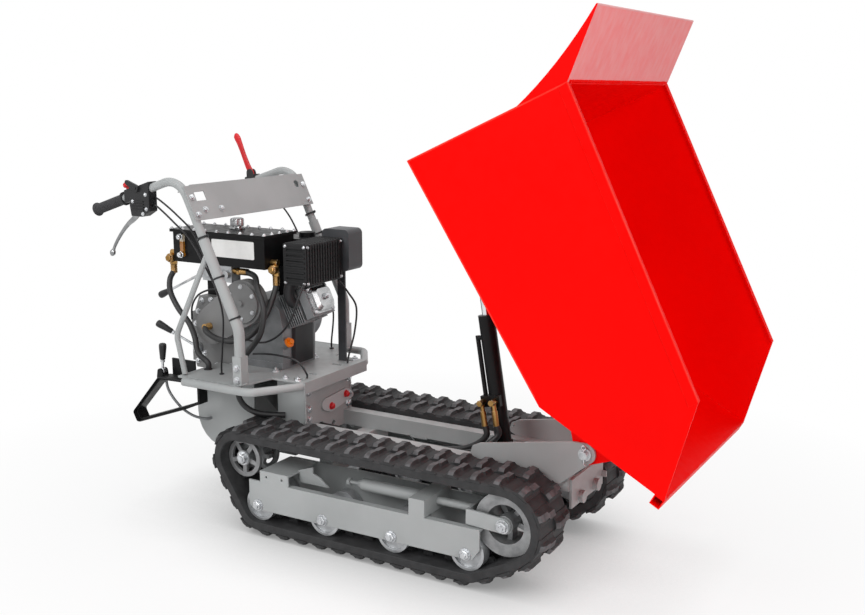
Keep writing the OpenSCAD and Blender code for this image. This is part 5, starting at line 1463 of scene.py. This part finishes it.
for place in ((-864, -126, 815), (-446, -102, 805)):
    eye_at = Vector(place) + Vector((0, EYE_DEPTH, 0))
    fitted += [turned_mesh("eye", eye, eye_at, near, 28), turned_mesh("head", head, eye_at, near, HEX)]
merged_piece("hose_ends", fitted, "chassis", brass, smooth_below=30)
print("hose ends:", len(ends))

# %% [markdown]
# ## Cable ties
# Black ties hold the cables to the sloping tubes: a thin band round the tube and a small lock in
# front of it. A strip could be bent round, but a short turned ring is closed by itself.

# %% Tie the cables
POST_R = 17
TIE_W = 6
tie_spots = ((-1, 305), (-1, 34), (-1, 170), (1, 327), (1, 250))
tie_in, tie_out = POST_R + 0.2, POST_R + 1.8
tie_band = [(tie_in, 0), (tie_out, 0.4), (tie_out, TIE_W - 0.4), (tie_in, TIE_W)]
lock = [(1, 0), (4.5, 0.5), (4.5, 6), (3.5, 7)]
ties = []
for side, along in tie_spots:
    place = on_bars(side * HANDLE_Y, along)
    ties += [turned_mesh("band", tie_band, place, BAR_SLOPE, 28),
             turned_mesh("lock", lock, place + front * POST_R + BAR_SLOPE * TIE_W / 2, front, 8)]
merged_piece("cable_ties", ties, "chassis", black_plastic, smooth_below=30)
print("ties:", len(tie_spots))

# %% [markdown]
# ## Leads, rod and return hose
# Thin leads run over the engine and to the deck, a bent rod leads from the range lever's foot to the
# side guard, and one hose goes on under the deck. Each is swept along its route like the hoses above.
# Turned rubber grommets line the deck's holes for the hoses and the control cables.

# %% Run the leads and line the deck's holes
LEAD_D = 6.5
LINK_D = 9
GROMMET_W = 5
hose_piece("engine_leads", [
    [(-320, -104, 769), (-330, -128, 716), (-352, -132, 660), (-400, -130, 604), (-470, -128, 568),
     (-551, -126, 570)],
    [(-318, 86, 752), (-300, 112, 710), (-296, 152, 654), (-300, 146, 571), (-300, 111, 500),
     (-300, 100, 470.5)],
    [(-529, -110, 519), (-460, -140, 534), (-389, -150, 539), (-320, -150, 530), (-290, -142, 492),
     (-304, -120, 470.5)],
    [(-640, -118, 727), (-690, -124, 722), (-742, -126, 700), (-774, -124, 660), (-784, -118, 610)],
], LEAD_D, black_plastic)
hose_piece("range_linkage", [
    [(-815, -222, 446), (-812, -216, 385), (-776, -204, 330), (-738, -186, 298), (-704, -164, 285),
     (-692, -142.5, 284)],
], LINK_D, dark_casting)
hose_piece("return_hose", [
    [(-520, -192, 464.5), (-524, -192, 430), (-526, -192, 392), (-500, -190, 362), (-460, -178, 345),
     (-420, -150, 338), (-390, -127, 336)],
], HOSE_D, wrapped_hose)
deck_holes = ((-650, -196, HOSE_D), (-520, -192, HOSE_D), (-470, -249, CABLE_D), (-570, -221, CABLE_D),
              (-470, 249, CABLE_D))
grommets = []
for x, y, d in deck_holes:
    inner, outer = d / 2, d / 2 + GROMMET_W
    collar = [(inner, 0.2), (outer, 0.4), (outer, 2.6), (inner + 2, 4.4), (inner, 5)]
    grommets.append(turned_mesh("grommet", collar, (x, y, DECK_Z), up, 24))
merged_piece("deck_grommets", grommets, "chassis", black_plastic)
print("grommets:", len(grommets))

# %% [markdown]
# ## Silencer guard
# A finger guard keeps hands off the hot silencer: thin bars over its top and down its front and side.
# Each bar could be modelled by itself, but they repeat, so a tree sets a copy of one bar at each
# place.

# %% Guard the silencer
SHIELD_REAR = -405
SHIELD_FOOT = 760
BAR_W = 6
BAR_T = 3.5
SUNK = 0.5
EASED_FACE = 0.8
FINGERS = 14
RAILS = 8
RAIL_PITCH = 15.5
copy_tree, given = new_tree("copies_on_seats", {})
shape = add_node(copy_tree, "GeometryNodeObjectInfo", {"Object": given["Shape"]}).outputs["Geometry"]
close_tree(copy_tree, set_on_points(copy_tree, given["Geometry"], shape), given)


def copies(name, mesh, places, finish):
    pattern = plain_object(name + "_pattern", mesh)
    base = seats_object(name + "_places", [(place, up) for place in places])
    made = grow(name, copy_tree, base, {"Shape": pattern, "Finish": finish})
    bpy.data.objects.remove(pattern)
    return add_piece(name, made, "chassis")


def bent_strip(name, path, across, thick):
    half = Vector(across) / 2
    slim = half * EASED_FACE
    spots = [Vector(p) for p in path]
    rings = []
    for i, p in enumerate(spots):
        before, after = spots[max(i - 1, 0)], spots[min(i + 1, len(spots) - 1)]
        out = half.cross(after - before).normalized() * thick
        rings.append([(p - half) * MM, (p + half) * MM, (p + slim + out) * MM, (p - slim + out) * MM])
    return lofted(name, rings)


finger = [(SHIELD_REAR + 4, 0, muff_high.z - SUNK), (muff_high.x - 8, 0, muff_high.z - SUNK),
          (muff_high.x - 2.5, 0, muff_high.z - 2.5), (muff_high.x - SUNK, 0, muff_high.z - 8),
          (muff_high.x - SUNK, 0, SHIELD_FOOT + 5)]
finger_y = even_row(muff_low.y, muff_high.y, SHIELD_INSET, FINGERS - 1)
finger_bar = bent_strip("finger", finger, (0, BAR_W, 0), -BAR_T)
copies("silencer_fingers", finger_bar, [(0, y, 0) for y in finger_y], heat_black)
rail = [(muff_high.x - 6, muff_low.y + SUNK, 0), (SHIELD_REAR + 6, muff_low.y + SUNK, 0)]
rail_z = [SHIELD_FOOT + 12 + RAIL_PITCH * k for k in range(RAILS)]
rail_bar = bent_strip("rail", rail, (0, 0, BAR_W), BAR_T)
copies("silencer_rails", rail_bar, [(0, 0, z) for z in rail_z], heat_black)
print("guard bars:", len(finger_y) + len(rail_z))

# %% [markdown]
# ## Rear guard straps
# Behind the deck two loops of broad flat bar keep legs and walls off the levers. The solid loops have
# the bar's place and bend, and a strap laid along each gives it the full width. Its corners are short
# curves, because flat bar can't be folded sharply without cracking.


# %% Lay the straps
def rounded_path(points, ease, steps=4):
    path = [Vector(points[0])]
    for before, corner, after in zip(points, points[1:], points[2:]):
        before, corner, after = Vector(before), Vector(corner), Vector(after)
        enter = corner + (before - corner).normalized() * ease
        leave = corner + (after - corner).normalized() * ease
        for k in range(steps + 1):
            t = k / steps
            path.append(enter * (1 - t) ** 2 + corner * 2 * t * (1 - t) + leave * t ** 2)
    return [*path, Vector(points[-1])]


STRAP_W = 62
STRAP_THICK = 3
LOOP_Y = 235
BEND_EASE = 8
loop_front = box_mm("rear_guards")[1].x
strap_line = [(loop_front, 0, 439.5), (-812, 0, 435.5), (-931.6, 0, 302.2), (-913.7, 0, 268.5),
              (-702, 0, 343.6)]
strap = bent_strip("strap", rounded_path(strap_line, BEND_EASE), (0, STRAP_W, 0), STRAP_THICK)
copies("rear_guard_straps", strap, [(0, side * LOOP_Y, 0) for side in (-1, 1)], heat_black)
print("strap width", STRAP_W, "mm")

# %% [markdown]
# ## Engine and lever housing
# The bright valve cover has a bolt in each corner and one in its middle, a black elbow leads the air
# to the engine, and a thin black sheet covers the engine's lower front. The lever housing has four
# moulded ribs. The bolt tree, the hose sweep and the flat bar make all of these, so no new tool is needed.

# %% Dress the engine
CRANK = Vector((-520, 5, 619))
BORE = Vector((0.9063, 0, 0.4226))
DOWN = Vector((0.4226, 0, -0.9063))
COVER_SEAT = 202
BOSS_TOP = 230
ELBOW_D = 34
FRONT_SHEET_W = 120
FRONT_SHEET_T = 5
RIB_W = 4
RIB_T = 3.5
RIB_Y = HOUSE_FACE + 0.3
head_middle = CRANK + BORE * COVER_SEAT
head_seats = [(head_middle + DOWN * a + Vector((0, b, 0)), BORE) for a in (-39, 39) for b in (-45, 45)]
bolts("head_bolts", head_seats, hex_bolt(7))
bolts("cover_bolt", [(CRANK + BORE * BOSS_TOP, BORE)], hex_bolt(10))
elbow = [(-392, -78, 762), (-400, -78, 735), (-400, -74, 708), (-392, -60, 690)]
hose_piece("intake_elbow", [elbow], ELBOW_D, black_plastic)
# A thin black sheet lies on the engine's lower front and makes that face dark.
front_sheet_line = [(-425, 22, 480), (-422.5, 22, 600), (-437, 22, 664)]
front_sheet = bent_strip("engine_cowl", front_sheet_line, (0, FRONT_SHEET_W, 0), FRONT_SHEET_T)
add_piece("engine_cowl", front_sheet, "chassis", black_plastic)
house_rib = bent_strip("house_rib", [(-846, RIB_Y, 0), (-796, RIB_Y, 0)], (0, 0, RIB_W), -RIB_T)
rib_places = [(0, 0, z) for z in (996, 1005, 1014, 1023)]
copies("housing_ribs", house_rib, rib_places, black_plastic)
print("valve cover bolts:", len(head_seats) + 1, "housing ribs:", len(rib_places))

# %% [markdown]
# ## Starter rope
# The starter's rope is wound up in the engine and comes out with its grip. A simulated rope would be
# slow, so a short stub hides in the grip's stem.

# %% Hide the rope in its grip
ROPE_R = 2.2
ROPE_LEN = 12
ROPE_DEPTH = 4
grip_middle = middle_mm("starter_grip")
rope_from = Vector((grip_middle.x, box_mm("starter_grip")[0].y - ROPE_DEPTH, grip_middle.z))
rope_mesh = turned_mesh("starter_rope", [(ROPE_R, k) for k in range(ROPE_LEN + 1)], rope_from, far, 10)
rope_mesh.materials.append(hose_rubber)
rope = plain_object("starter_rope", rope_mesh)
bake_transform(rope)
print("rope stub", ROPE_LEN, "mm")
